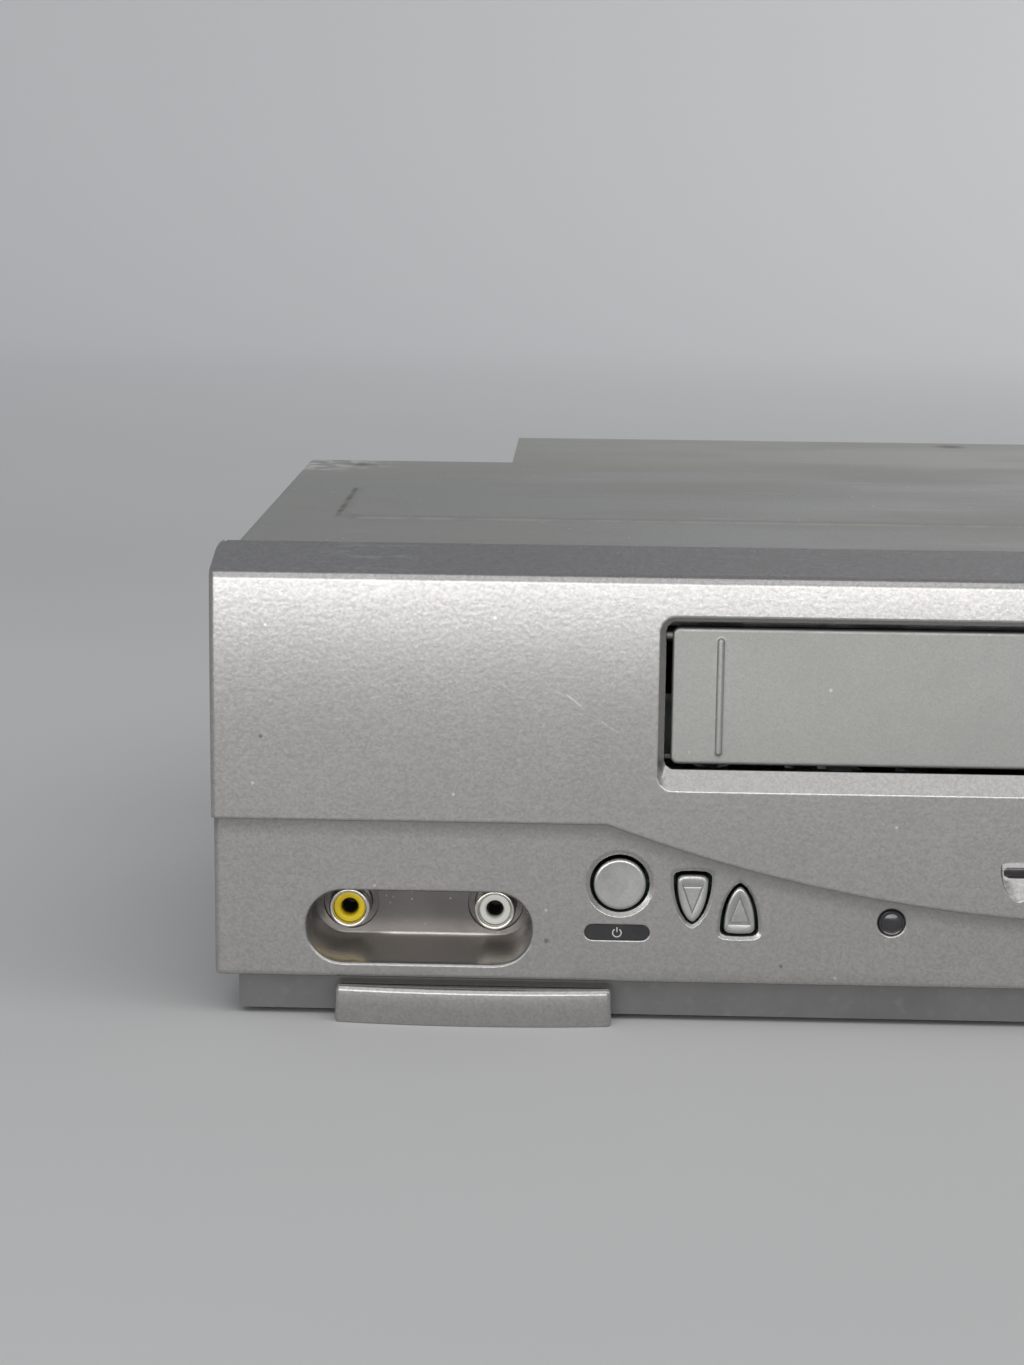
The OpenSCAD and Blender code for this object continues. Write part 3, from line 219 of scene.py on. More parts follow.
# Patches: pairs of points and faces, welded where they meet when a piece is made
def quads(points, closed=False, keep=None):
    """Four-cornered faces over rows and columns of points; closed joins the last column to the first."""
    rows, cols = points.shape[:2]
    i, j = np.meshgrid(np.arange(rows - 1), np.arange(cols if closed else cols - 1), indexing="ij")
    near, far = i * cols + j, i * cols + (j + 1) % cols
    faces = np.stack([near, far, far + cols, near + cols], -1)
    if keep is not None:
        faces = faces[keep]
    return points.reshape(-1, 3), faces.reshape(-1, 4).tolist()


def capped(patch, cols, first=False, last=True):
    """A closed patch with a face over its first or last ring."""
    points, faces = patch
    if last:
        faces = faces + [list(range(len(points) - cols, len(points)))]
    if first:
        faces = faces + [list(range(cols - 1, -1, -1))]
    return points, faces


def grid(*axes):
    """Points from arrays of x, y and z, spread to a common shape."""
    return np.stack(np.broadcast_arrays(*axes), -1)


def facing_front(flat, depth):
    """Flat places seen from in front, set back by a depth."""
    return grid(flat[..., 0], depth, flat[..., 1])


def facing_up(flat, height):
    """Flat places seen from above, at a height."""
    return grid(flat[..., 0], flat[..., 1], height)


def stacked(rings, place=facing_front):
    """Closed surface through a stack of like loops, each with its own depth, with a face over either end."""
    points = np.stack([place(loop, depth) for loop, depth in rings])
    return capped(quads(points, closed=True), points.shape[1], first=True)


def pierced(border, counts, rings, place, lid, spread=5):
    """Ring-shaped patch from the border of a block in to a hole: straight blends as far as the first ring,
    then the given loops and depths down into the hole. A lid closes the last loop."""
    outer = rings[0][0]
    corners = border[np.cumsum([0, *counts[:3]])]
    at = places_along(outer, corners, counts)
    loops = np.stack([picked(loop, at) for loop, _ in rings])
    t = np.linspace(0, 1, spread + 1)[:-1, None, None]
    flat = np.concatenate([border * (1 - t) + loops[0] * t, loops])
    depth = np.concatenate([np.zeros(spread), [d for _, d in rings]])
    return capped(quads(place(flat, depth[:, None]), closed=True), len(border), last=lid)


def sheet(points, holes, gone=None):
    """A grid of points whose blocks give way to holes. Each hole is (columns, rows, rings, plan, place, lid):
    plan holds the grid's flat places and place puts flat places and a depth back in space."""
    keep = np.ones((points.shape[0] - 1, points.shape[1] - 1), bool)
    patches = []
    if gone:
        (i0, i1), (j0, j1) = gone
        keep[j0:j1, i0:i1] = False
    for (i0, i1), (j0, j1), rings, plan, place, lid in holes:
        keep[j0:j1, i0:i1] = False
        block = plan[j0 : j1 + 1, i0 : i1 + 1]
        border = np.concatenate([block[0, :-1], block[:-1, -1], block[-1, :0:-1], block[:0:-1, 0]])
        patches.append(pierced(border, (i1 - i0, j1 - j0, i1 - i0, j1 - j0), rings, place, lid))
    return [quads(points, keep=keep), *patches]


def turned(profile, centre, n=48):
    """Closed profile of (radius, depth) places spun about a front-to-back axis."""
    turn = np.arange(n) * 2 * pi / n
    radius, depth = np.array(profile, float).T[..., None]
    x, z = centre[0] + radius * np.cos(turn), centre[1] + radius * np.sin(turn)
    return quads(grid(x, depth, z), closed=True)


def grown(shape, steps):
    """Rings of an outline, one for each pair of growth and depth."""
    return [(shape(growth), depth) for growth, depth in steps]


def countersink(shape, width, depth):
    """Rings of a hole whose edge is cut away at a slant: width and depth of the slant, then the wall."""
    slant = ((width + 0.06, 0), (width - 0.05, 0.05), (0.06, depth - 0.06), (0, depth + 0.06))
    return grown(shape, ((width + 0.2, 0), *slant, (0, HOLE_WALL)))


def steps_between(marks, pitch):
    """The marks, with even steps of at most pitch between them."""
    marks = sorted(set(np.round(marks, 4)))
    runs = [np.linspace(a, b, int(np.ceil((b - a) / pitch)) + 1)[:-1] for a, b in zip(marks, marks[1:])]
    return np.append(np.concatenate(runs), marks[-1])


def nearest(values, wanted):
    """Index of the value nearest to the wanted one."""
    return int(np.abs(np.asarray(values) - wanted).argmin())


def mesh_of(name, points, faces, finish):
    """Mesh of one finish from points in millimetres."""
    mesh = bpy.data.meshes.new(name)
    mesh.from_pydata(points * MM, [], faces)
    mesh.materials.append(finish)
    return mesh


def placed(name, data):
    """New object in the scene."""
    obj = bpy.data.objects.new(name, data)
    bpy.context.scene.collection.objects.link(obj)
    return obj


def piece(name, patches, slot, stands_for=(), body="main_frame", finish=None, outward=None, thick=0):
    """Welds patches into one object that rides on a body, in the slot's finish unless another is given. A
    sheet is turned to face outward and given a thickness; a closed shell has its faces turned out."""
    points = np.concatenate([p for p, _ in patches]) + (0, FRONT, 0)
    starts = np.cumsum([0] + [len(p) for p, _ in patches])
    faces = [[start + k for k in face] for start, (_, f) in zip(starts, patches) for face in f]
    mesh = mesh_of(name, points, faces, finish or FINISHES[slot])
    shell = bmesh.new()
    shell.from_mesh(mesh)
    bmesh.ops.remove_doubles(shell, verts=shell.verts, dist=3e-6)
    bmesh.ops.recalc_face_normals(shell, faces=shell.faces)
    if outward and sum(f.calc_area() * f.normal.dot(Vector(outward)) for f in shell.faces) < 0:
        bmesh.ops.reverse_faces(shell, faces=shell.faces)
    shell.to_mesh(mesh)
    shell.free()
    mesh.shade_smooth()
    mesh.set_sharp_from_angle(angle=CREASE)

    # The rims of a sheet are sharp edges as well
    sides = np.zeros(len(mesh.loops), int)
    mesh.loops.foreach_get("edge_index", sides)
    sharp = np.zeros(len(mesh.edges), bool)
    mesh.edges.foreach_get("use_edge_sharp", sharp)
    mesh.edges.foreach_set("use_edge_sharp", sharp | (np.bincount(sides, minlength=len(sharp)) == 1))

    obj = placed(name, mesh)
    if thick:
        wall = obj.modifiers.new("wall", "SOLIDIFY")
        wall.thickness = thick * MM
        wall.offset = -1
    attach(obj, body)
    if stands_for:
        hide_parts(*stands_for)


class Finish:
    """A material under construction: calls add nodes and give back their outputs, or lay a colour."""

    def __init__(self, name, rough, metal=0.0, **shader):
        self.material = bpy.data.materials.new(name)
        self.material.use_nodes = True
        self.tree = self.material.node_tree
        self.shader = self.tree.nodes["Principled BSDF"]
        self.shader.inputs["Metallic"].default_value = metal
        self.shader.inputs["Roughness"].default_value = rough
        for socket, value in shader.items():
            self.shader.inputs[socket.replace("_", " ")].default_value = value
        self.at = self.add("ShaderNodeTexCoord", {}).outputs["Object"]
        self.colour = None

    def add(self, kind, fed, **settings):
        """Adds a node with some settings, and feeds its inputs."""
        node = self.tree.nodes.new(kind)
        for key, value in settings.items():
            setattr(node, key, value)
        for socket, value in fed.items():
            self.feed(node.inputs[socket], value)
        return node

    def feed(self, socket, value):
        """Links an output to a socket, or sets the socket to a plain value."""
        if isinstance(value, bpy.types.NodeSocket):
            self.tree.links.new(value, socket)
        else:
            socket.default_value = (*value, 1) if socket.type == "RGBA" else value

    def scaled(self, scale):
        """Object coordinates times a scale; less than one draws a pattern out along that axis."""
        return self.add("ShaderNodeMapping", {"Vector": self.at, "Scale": scale}).outputs[0]

    def noise(self, size, detail, at=None):
        """Cloudy noise whose blobs are about size millimetres across."""
        fed = {"Vector": at or self.at, "Scale": 1000 / size, "Detail": detail}
        return self.add("ShaderNodeTexNoise", fed).outputs["Fac"]

    def cells(self, size, output="Distance"):
        """Random cells about size millimetres across."""
        return self.add("ShaderNodeTexVoronoi", {"Vector": self.at, "Scale": 1000 / size}).outputs[output]

    def axis(self, letter, at=None):
        """One coordinate, in metres."""
        return self.add("ShaderNodeSeparateXYZ", {0: at or self.at}).outputs[letter]

    def math(self, operation, a, b=0.0):
        return self.add("ShaderNodeMath", {0: a, 1: b}, operation=operation).outputs[0]

    def between(self, value, low, high, start=0.0, end=1.0):
        """Carries a value from low..high to start..end, held at both ends."""
        fed = dict(enumerate((value, low, high, start, end)))
        return self.add("ShaderNodeMapRange", fed).outputs[0]

    def product(self, first, *others):
        """All the shares multiplied."""
        for other in others:
            first = self.math("MULTIPLY", first, other)
        return first

    def past(self, letter, start, end, low=0.0, high=1.0):
        """Goes from low to high as one coordinate in millimetres goes from start to end."""
        shift = FRONT if letter == "Y" else 0
        return self.between(self.axis(letter), (start + shift) * MM, (end + shift) * MM, low, high)

    def beside(self, letter, middle, start, end, low=1.0, high=0.0):
        """Goes from low to high as the distance from a place along one axis goes from start to end."""
        shift = FRONT if letter == "Y" else 0
        away = self.math("ABSOLUTE", self.math("SUBTRACT", self.axis(letter), (middle + shift) * MM))
        return self.between(away, start * MM, end * MM, low, high)

    def blend(self, share, a, b):
        """Colour a where share is 0 and b where it is 1."""
        return self.add("ShaderNodeMix", {"Factor": share, 6: a, 7: b}, data_type="RGBA").outputs[2]

    def lay(self, share, colour):
        """Lays a colour over what is there, as thickly as the share says."""
        self.colour = self.blend(share, self.colour, colour)

    def speckle(self, size, share, colour):
        """Lays small specks of a colour: one cell in share, with a dot in its middle."""
        dot = self.between(self.cells(size), 0.05, 0.16, 1, 0)
        pick = self.between(self.axis("X", self.cells(size, "Color")), 1 - share, 1 - share + 0.01)
        self.lay(self.product(dot, pick), colour)

    def near(self, centre, radius):
        """One at a place (across, depth, height) in millimetres, falling to nothing at the radius."""
        fed = {0: self.at, 1: np.add(centre, (0, FRONT, 0)) * MM}
        away = self.add("ShaderNodeVectorMath", fed, operation="DISTANCE").outputs["Value"]
        return self.between(away, 0.25 * radius * MM, radius * MM, 1, 0)

    def stroke(self, start, end, width):
        """One along a straight line between two (across, height) places in millimetres, nothing beside it."""
        run = np.subtract(end, start) * MM
        length = float(np.hypot(*run))
        lines = []
        for way in (run / length, run[::-1] * (-1, 1) / length):
            fed = {0: self.at, 1: (way[0], 0, way[1])}
            reach = self.add("ShaderNodeVectorMath", fed, operation="DOT_PRODUCT").outputs["Value"]
            middle = float(np.dot(way, np.add(start, end) / 2 * MM))
            lines.append(self.math("ABSOLUTE", self.math("SUBTRACT", reach, middle)))
        along = self.between(lines[0], 0.35 * length, 0.5 * length, 1, 0)
        return self.product(along, self.between(lines[1], 0, width / 2 * MM, 1, 0))

    def relief(self, height, depth, strength):
        """Bumps of a depth in millimetres."""
        fed = {"Strength": strength, "Distance": depth * MM, "Height": height}
        self.feed(self.shader.inputs["Normal"], self.add("ShaderNodeBump", fed).outputs[0])

    def done(self, rough=None):
        """The material, with the colour laid so far and, if given, a roughness that varies."""
        self.feed(self.shader.inputs["Base Color"], self.colour)
        if rough is not None:
            self.feed(self.shader.inputs["Roughness"], rough)
        return self.material


def tone(colour, share):
    """A colour made lighter or darker by a share."""
    return tuple(min(1.0, c * share) for c in colour)


def silver_paint():
    """Metallic flake paint on moulded plastic: pebbled skin, fine flake, pale and dark specks, two short
    scratches and a scuffed bevel. A strip under the swept step is darkened as painted shade. The socket
    recess is darker and speckled, its darkness painted shade, with a floor painted paler as painted light and
    dust, and the walls of the cassette bay are black: unpainted plastic behind the paint, made black as
    painted shade."""
    f = Finish("silver flake paint", rough=0.26, metal=0.78)
    base = (0.395, 0.387, 0.377)
    flake = f.axis("X", f.cells(0.42, "Color"))
    f.colour = f.blend(flake, tone(base, 0.88), tone(base, 1.1))
    f.lay(f.between(f.noise(60, 2), 0.35, 0.7, 0, 0.2), tone(base, 0.88))

    # Painted shade: a dark strip just under the swept step line, where the step casts its shadow on the lower
    # face.
    x = f.axis("X")
    sag = f.math("SQRT", f.math("SUBTRACT", (SWEEP_R * MM) ** 2, f.math("MULTIPLY", x, x)))
    line = f.math("MINIMUM", f.math("SUBTRACT", (STEP_Z + SWEEP_R - SWEEP_DROP) * MM, sag), STEP_Z * MM)
    under = f.math("SUBTRACT", line, f.axis("Z"))
    step_shade = f.product(f.between(under, 0.6 * MM, 4.2 * MM, 1, 0), f.between(under, -0.3 * MM, 0), 0.55)
    f.lay(step_shade, tone(base, 0.3))

    streak = f.between(f.noise(5, 4, f.scaled((0.16, 1, 1))), 0.66, 0.74)
    f.lay(f.product(streak, f.past("Z", 90.5, 92.5), 0.18), (0.8, 0.8, 0.77))
    rubbed = f.between(f.noise(1.8, 4, f.scaled((0.3, 1, 1))), 0.5, 0.72)
    f.lay(f.product(f.near((-150, 9, 93), 13), rubbed, 0.4), (0.8, 0.8, 0.76))
    broken = f.between(f.noise(0.9, 3), 0.35, 0.55, 0.3, 1)
    for start, end, share in SCRATCHES:
        f.lay(f.product(f.stroke(start, end, 0.45), broken, share), (0.85, 0.85, 0.82))
    chip = f.product(f.near((-114.3, STEP_BACK, 16.8), 0.7), 0.7)
    f.lay(chip, (0.12, 0.12, 0.11))
    f.speckle(2.6, 0.03, (0.68, 0.68, 0.66))
    f.speckle(3.4, 0.012, (0.1, 0.1, 0.09))

    # Painted shade: a darker, speckled colour for the socket recess, laid below over every silver-painted face
    # more than about 5 mm behind the front under the step line.
    skin, f.colour = f.colour, (0.2, 0.187, 0.18)
    f.speckle(1.7, 0.25, (0.42, 0.4, 0.38))
    f.lay(f.between(f.noise(9, 4), 0.4, 0.7, 0, 0.5), (0.13, 0.12, 0.115))
    # Painted light and dust: the recess floor, facing up, is painted paler than the back wall.
    floor = f.product(f.past("Z", 13.5, 17.5, 1, 0), f.past("Y", 18.6, 18.9, 1, 0))
    f.lay(floor, (0.5, 0.46, 0.42))
    f.speckle(1.3, 0.2, (0.66, 0.63, 0.6))
    seam = f.product(f.past("Y", 18.5, 18.9), f.past("Z", 13.4, 13.7, 1, 0))
    f.lay(f.product(seam, f.beside("X", -136.5, 9, 13, 0.6, 0.1)), (0.8, 0.78, 0.74))
    painted_shade, f.colour = f.colour, skin
    # Lays the painted shade of the recess over the deep faces below the step line.
    recess = f.product(f.past("Y", 4.9, 5.6), f.past("Z", 42, 40), f.beside("X", 0, 168, 170))
    f.lay(recess, painted_shade)
    # Black on the walls of the cassette bay: unpainted plastic behind the paint, made black as painted shade in
    # the gap round the flap.
    bay = f.product(f.past("Z", 50, 50.5), f.past("Z", 83, 83.5, 1, 0), f.beside("X", 0, 110, 120))
    f.lay(f.product(bay, f.past("Y", 2.5, 2.8)), (0.02, 0.02, 0.02))
    f.relief(f.noise(0.9, 1), 0.045, 0.4)
    return f.done(f.between(f.noise(14, 2), 0.3, 0.7, 0.258, 0.272))


def cover_paint():
    """Grey painted sheet steel with dust in patches, lighter towards the rear, faint rubbed streaks and scuffed
    corners, and thin broken lines along the raised field: a dark painted shadow on its left edge and a pale
    painted highlight on its front edge."""
    f = Finish("dusty grey sheet steel paint", rough=0.55, metal=0.35)
    base = (0.3, 0.297, 0.285)
    f.colour = f.blend(f.axis("X", f.cells(0.45, "Color")), tone(base, 0.93), tone(base, 1.08))
    dust = f.between(f.noise(22, 5, f.scaled((0.35, 1, 1))), 0.42, 0.68, 0, 0.5)
    f.lay(dust, (0.36, 0.35, 0.32))
    # Lighter towards the rear.
    f.lay(f.past("Y", 100, 214, 0, 0.6), (0.43, 0.42, 0.38))
    broken = f.between(f.noise(7, 3), 0.36, 0.56, 0.4, 1)
    # Painted shadow: a thin dark broken line down the left edge of the raised field.
    left = f.product(f.beside("X", -160.4, 0.3, 0.9), broken, f.beside("Y", 80, 22, 25), 0.8)
    f.lay(left, (0.1, 0.085, 0.06))
    # Painted highlight: a thin pale broken line along the front edge of the raised field.
    front = f.product(f.beside("Y", 52.8, 0.2, 0.9), broken, f.beside("X", 0, 155, 157, 0.28, 0))
    f.lay(front, (0.62, 0.6, 0.56))
    streak = f.between(f.noise(5, 5, f.scaled((0.1, 1, 1))), 0.66, 0.78, 0, 0.45)
    f.lay(streak, (0.56, 0.55, 0.52))
    corner = f.product(f.near((-172, 150, 93), 20), f.between(f.noise(4, 4), 0.44, 0.6), 0.75)
    f.lay(corner, (0.72, 0.71, 0.67))
    for across, back in ((-163, 148), (-12, 206)):
        f.lay(f.product(f.near((across, back, 93.4), 5), 0.7), (0.12, 0.11, 0.1))
    f.speckle(3.0, 0.08, (0.6, 0.59, 0.56))
    f.relief(f.noise(1.1, 2), 0.04, 0.5)
    return f.done(f.between(dust, 0, 0.5, 0.48, 0.68))


def satin_paint(name, base, rough, metal, edge, peel=0.02):
    """Smoother silver finish for the flap and the caps; further back than edge it is black: unpainted plastic
    behind the paint, made black as painted shade in the gaps round the flap and the caps.
    """
    f = Finish(name, rough=rough, metal=metal)
    f.colour = f.blend(f.axis("X", f.cells(0.3, "Color")), tone(base, 0.92), tone(base, 1.07))
    f.lay(f.between(f.noise(18, 4), 0.4, 0.7, 0, 0.3), tone(base, 0.85))
    f.speckle(3.0, 0.03, (0.6, 0.6, 0.57))
    # Black further back than edge: unpainted plastic, and painted shade in the gaps round the flap and the
    # caps.
    f.lay(f.past("Y", edge, edge + 0.3), (0.02, 0.02, 0.02))
    f.relief(f.noise(0.7, 3), peel, 0.4)
    return f.done(f.between(f.noise(4, 4), 0.3, 0.7, rough - 0.05, rough + 0.07))


def moulded(name, base, rough, grain, grime, **shader):
    """Moulded plastic or rubber: spark-eroded grain, uneven shade, dust in patches."""
    f = Finish(name, rough=rough, **shader)
    f.colour = f.blend(f.between(f.noise(14, 4), 0.35, 0.7), base, tone(base, 0.84))
    f.lay(f.between(f.noise(3, 5), 0.55, 0.8, 0, grime), (0.3, 0.28, 0.25))
    f.relief(f.noise(grain, 2), 0.04, 0.5)
    return f.done(f.between(f.noise(5, 3), 0.3, 0.7, rough - 0.06, rough + 0.08))


def metal(name, base, rough, along=(1, 1, 1), cloud=16, stain=0.25):
    """Bare or plated metal: fine lines along one way, clouded shade and a little stain."""
    f = Finish(name, rough=rough, metal=1.0)
    line = f.noise(0.5, 3, f.scaled(along))
    f.colour = f.blend(f.between(line, 0.3, 0.7), tone(base, 0.88), tone(base, 1.08))
    f.lay(f.between(f.noise(cloud, 4), 0.4, 0.75, 0, stain), tone(base, 0.55))
    f.relief(line, 0.008, 0.5)
    return f.done(f.between(f.noise(6, 4), 0.3, 0.7, rough - 0.06, rough + 0.1))


def spangled(name, base):
    """Zinc-plated sheet: crystals of several shades that meet in straight edges."""
    f = Finish(name, rough=0.36, metal=1.0)
    shade = f.axis("X", f.cells(9, "Color"))
    f.colour = f.blend(shade, tone(base, 0.8), tone(base, 1.12))
    f.lay(f.between(f.noise(20, 5), 0.45, 0.75, 0, 0.4), (0.34, 0.33, 0.31))
    f.relief(f.noise(0.7, 3, f.scaled((0.2, 1, 1))), 0.01, 0.5)
    return f.done(f.between(shade, 0, 1, 0.3, 0.5))


def circuit_board(name, base, track):
    """Lacquered board: blocky copper tracks under the lacquer, rows of bright soldered dots."""
    f = Finish(name, rough=0.3, Coat_Weight=0.3)
    line, cross = (
        f.between(f.math("FRACT", f.math("MULTIPLY", f.axis(letter), pitch)), 0.42, 0.5)
        for letter, pitch in (("X", 320), ("Y", 290))
    )
    way = f.between(f.axis("X", f.cells(5.5, "Color")), 0.49, 0.51)
    tracks = f.math("ADD", f.product(line, way), f.product(cross, f.math("SUBTRACT", 1, way)))
    f.colour = f.blend(f.product(tracks, 0.8), base, track)
    dots = f.between(f.cells(2.6), 0.12, 0.18, 1, 0)
    f.lay(f.product(dots, 0.7), (0.62, 0.62, 0.6))
    f.relief(tracks, 0.05, 0.6)
    return f.done()


def component_black():
    """Black parts on the boards, with a share of blue and brown ones."""
    f = Finish("component bodies", rough=0.4)
    kind = f.axis("X", f.cells(16, "Color"))
    f.colour = f.blend(f.between(kind, 0.55, 0.56), (0.02, 0.02, 0.023), (0.03, 0.05, 0.16))
    f.lay(f.between(kind, 0.8, 0.81), (0.2, 0.09, 0.04))
    f.lay(f.between(f.noise(4, 4), 0.5, 0.8, 0, 0.3), (0.2, 0.19, 0.17))
    f.relief(f.noise(1, 2), 0.03, 0.4)
    return f.done()


def wound_copper():
    """Enamelled wire: fine turns that show as ridges up the coil."""
    f = Finish("enamelled copper wire", rough=0.32, metal=0.85)
    turn = f.math("SINE", f.math("MULTIPLY", f.axis("Z"), 2 * pi * 2500))
    f.colour = f.blend(f.between(turn, -1, 1), (0.3, 0.12, 0.05), (0.66, 0.33, 0.15))
    f.relief(turn, 0.05, 0.7)
    return f.done()


def smoked(name, base, rough):
    """Dark glossy plastic window with faint smears and dust."""
    f = Finish(name, rough=rough, Coat_Weight=0.6, Coat_Roughness=0.06)
    smear = f.between(f.noise(3, 4), 0.45, 0.75)
    f.colour = f.blend(f.product(smear, 0.25), base, tone(base, 3.0))
    return f.done(f.between(smear, 0, 1, rough, rough + 0.16))


FINISHES = {
    "silver_paint": silver_paint(),
    "door_paint": satin_paint("satin flap paint", (0.355, 0.355, 0.336), 0.4, 0.7, 5.0),
    "cap_paint": satin_paint("satin cap paint", (0.44, 0.44, 0.428), 0.3, 0.85, 4.2, 0.01),
    "cover_paint": cover_paint(),
    "rear_plastic": moulded("charcoal moulded plastic", (0.085, 0.086, 0.09), 0.55, 1.2, 0.3),
    "black_plastic": moulded("black moulded plastic", (0.016, 0.016, 0.018), 0.42, 0.9, 0.1),
    "smoke_lens": smoked("smoked lens plastic", (0.02, 0.019, 0.022), 0.16),
    "lamp_lens": smoked("dark lamp plastic", (0.014, 0.011, 0.012), 0.2),
    "rubber_pad": moulded("black rubber", (0.02, 0.02, 0.02), 0.8, 0.6, 0.35),
    "zinc": spangled("spangled zinc plate", (0.62, 0.63, 0.64)),
    "dark_screw": metal("blackened screw steel", (0.1, 0.1, 0.105), 0.35),
    "nickel": metal("nickel plate", (0.7, 0.68, 0.63), 0.22, cloud=3, stain=0.4),
    "yellow_plastic": moulded("egg yellow plastic", (1.0, 0.74, 0.01), 0.34, 0.8, 0.03),
    "white_plastic": moulded("ivory plastic", (0.95, 0.95, 0.88), 0.34, 0.8, 0.03),
    "green_board": circuit_board("green lacquered board", (0.01, 0.085, 0.03), (0.05, 0.19, 0.07)),
    "brown_board": circuit_board("brown paper board", (0.17, 0.09, 0.035), (0.3, 0.17, 0.07)),
    "component_black": component_black(),
    "ferrite_tape": moulded("yellow winding tape", (0.5, 0.4, 0.1), 0.4, 2.0, 0.4),
    "aluminium": metal("machined aluminium", (0.72, 0.73, 0.74), 0.28, (1, 1, 0.1)),
    "brass": metal("turned brass", (0.72, 0.5, 0.22), 0.28, (1, 1, 0.15)),
    "steel_shaft": metal("ground steel", (0.62, 0.62, 0.63), 0.2, (1, 1, 0.1)),
    "copper_coil": wound_copper(),
    "cream_gear": moulded("cream acetal", (0.72, 0.66, 0.5), 0.4, 0.8, 0.15),
}


def finish_nodes():
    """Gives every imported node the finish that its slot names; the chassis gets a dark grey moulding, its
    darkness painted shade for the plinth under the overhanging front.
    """
    # Painted shade: the chassis is made dark grey so that its plinth looks shaded under the front panel.
    painted_shade = {"chassis": moulded("grey moulding darkened as painted shade", (0.15, 0.15, 0.148), 0.5, 1.0, 0.25, metal=0.3)}
    for part in frame["record"]["subparts"]:
        obj = frame["nodes"][part["node"]]
        obj.data.materials.clear()
        obj.data.materials.append(painted_shade.get(part["node"], FINISHES[part["material_slot"]]))


def add_camera():
    """Camera at the photograph's place: right, up and back axes from its yaw, tilt and roll."""
    level = np.array([cos(CAMERA_YAW), -sin(CAMERA_YAW), 0])
    flat_ahead = np.array([sin(CAMERA_YAW), cos(CAMERA_YAW), 0])
    ahead = cos(CAMERA_TILT) * flat_ahead - sin(CAMERA_TILT) * np.array([0, 0, 1])
    over = np.cross(level, ahead)
    right = cos(CAMERA_ROLL) * level + sin(CAMERA_ROLL) * over
    up = cos(CAMERA_ROLL) * over - sin(CAMERA_ROLL) * level
    rows = np.column_stack([right, up, -ahead, CAMERA_AT])
    camera = placed("camera", bpy.data.cameras.new("camera"))
    camera.data.lens = LENS
    camera.data.clip_start = 0.01
    camera.matrix_world = Matrix([*rows, [0, 0, 0, 1]])
    bpy.context.scene.camera = camera


# Front panel
def sweep(x):
    """How far the step line lies below its flat part: a circular arc across the middle."""
    arc = SWEEP_R - SWEEP_DROP - np.sqrt(np.maximum(SWEEP_R**2 - np.square(x), 0))
    return np.where(np.abs(x) < SWEEP_HALF, arc, 0.0)


def crown(z):
    """Setback of the upper face: the cube of the height above its flat part."""
    return FACE_CROWN * (np.maximum(np.asarray(z, float) - CROWN_FROM, 0) / (BEVEL_Z - CROWN_FROM)) ** 3


def roll(depth, z, r, start, end, share=0, n=5):
    """Rows round part of a circle seen from the right: 180 degrees faces the front, 90 up and 270 down."""
    turn = np.radians(np.linspace(start, end, n + 1))
    return [(y, height, share) for y, height in (depth, z) + r * unit(turn)]


def panel_section():
    """Rows of the front panel from its lower lip to its rear rim: depth, height, share of the sweep. The
    undersides of the lip and the step fall a little towards the rear, so that no face is without area."""
    lip, fillet, edge, brow = 0.9, 0.7, 0.5, 1.8
    slope = np.arctan2(PANEL_TOP - BEVEL_Z, BEVEL_D)
    lean = float(np.arctan(2.86 * FACE_CROWN / (BEVEL_Z - CROWN_FROM)))
    brow_y = brow
    for _ in range(4):
        brow_z = BEVEL_Z + tan(slope) * brow_y - brow / cos(slope)
        brow_y = float(crown(brow_z + brow * sin(lean))) + brow * cos(lean)
    low = PANEL_LOW + 0.1
    rows = [(BEVEL_D, PANEL_LOW, 0), (10, PANEL_LOW + 0.05, 0), (STEP_BACK + lip + 0.3, low - 0.01, 0)]
    rows += roll(STEP_BACK + lip, low + lip, lip, 270, 180)
    rows += [(STEP_BACK, z, 0) for z in np.linspace(low + lip + 0.2, SPLIT_Z, 6)]
    reach = STEP_Z - fillet - 0.15 - SPLIT_Z
    rows += [(STEP_BACK, SPLIT_Z + t * reach, t) for t in np.linspace(0, 1, ROWS_TO_STEP + 1)[1:]]
    rows += roll(STEP_BACK - fillet, STEP_Z - fillet - 0.05, fillet, 0, 90, 1)
    rows += [(edge + 0.3, STEP_Z + 0.03, 1)]
    rows += roll(edge, STEP_Z + edge + 0.05, edge, 270, 180, 1)
    first = STEP_Z + edge + 0.2
    rows += [(0, first + t * (DOOR_ROWS[0] - first), 1 - t) for t in np.linspace(0, 1, ROWS_TO_BAY + 1)]
    rows += [(float(crown(z)), z, 0) for z in np.linspace(*DOOR_ROWS, ROWS_OF_BAY + 1)[1:]]
    rows += [(float(crown(z)), z, 0) for z in np.linspace(DOOR_ROWS[1], brow_z - 0.2, 5)[1:]]
    rows += roll(brow_y, brow_z, brow, 180 - np.degrees(lean), 90 + np.degrees(slope), n=7)
    y, z = rows[-1][:2]
    bevel = (0.04, 0.2, 0.4, 0.6, 0.74, 0.82, 0.88, 0.94, 0.98, 1)
    rows += [(y + t * (BEVEL_D - y), z + t * (PANEL_TOP - z), 0) for t in bevel]
    return np.array(rows, float)


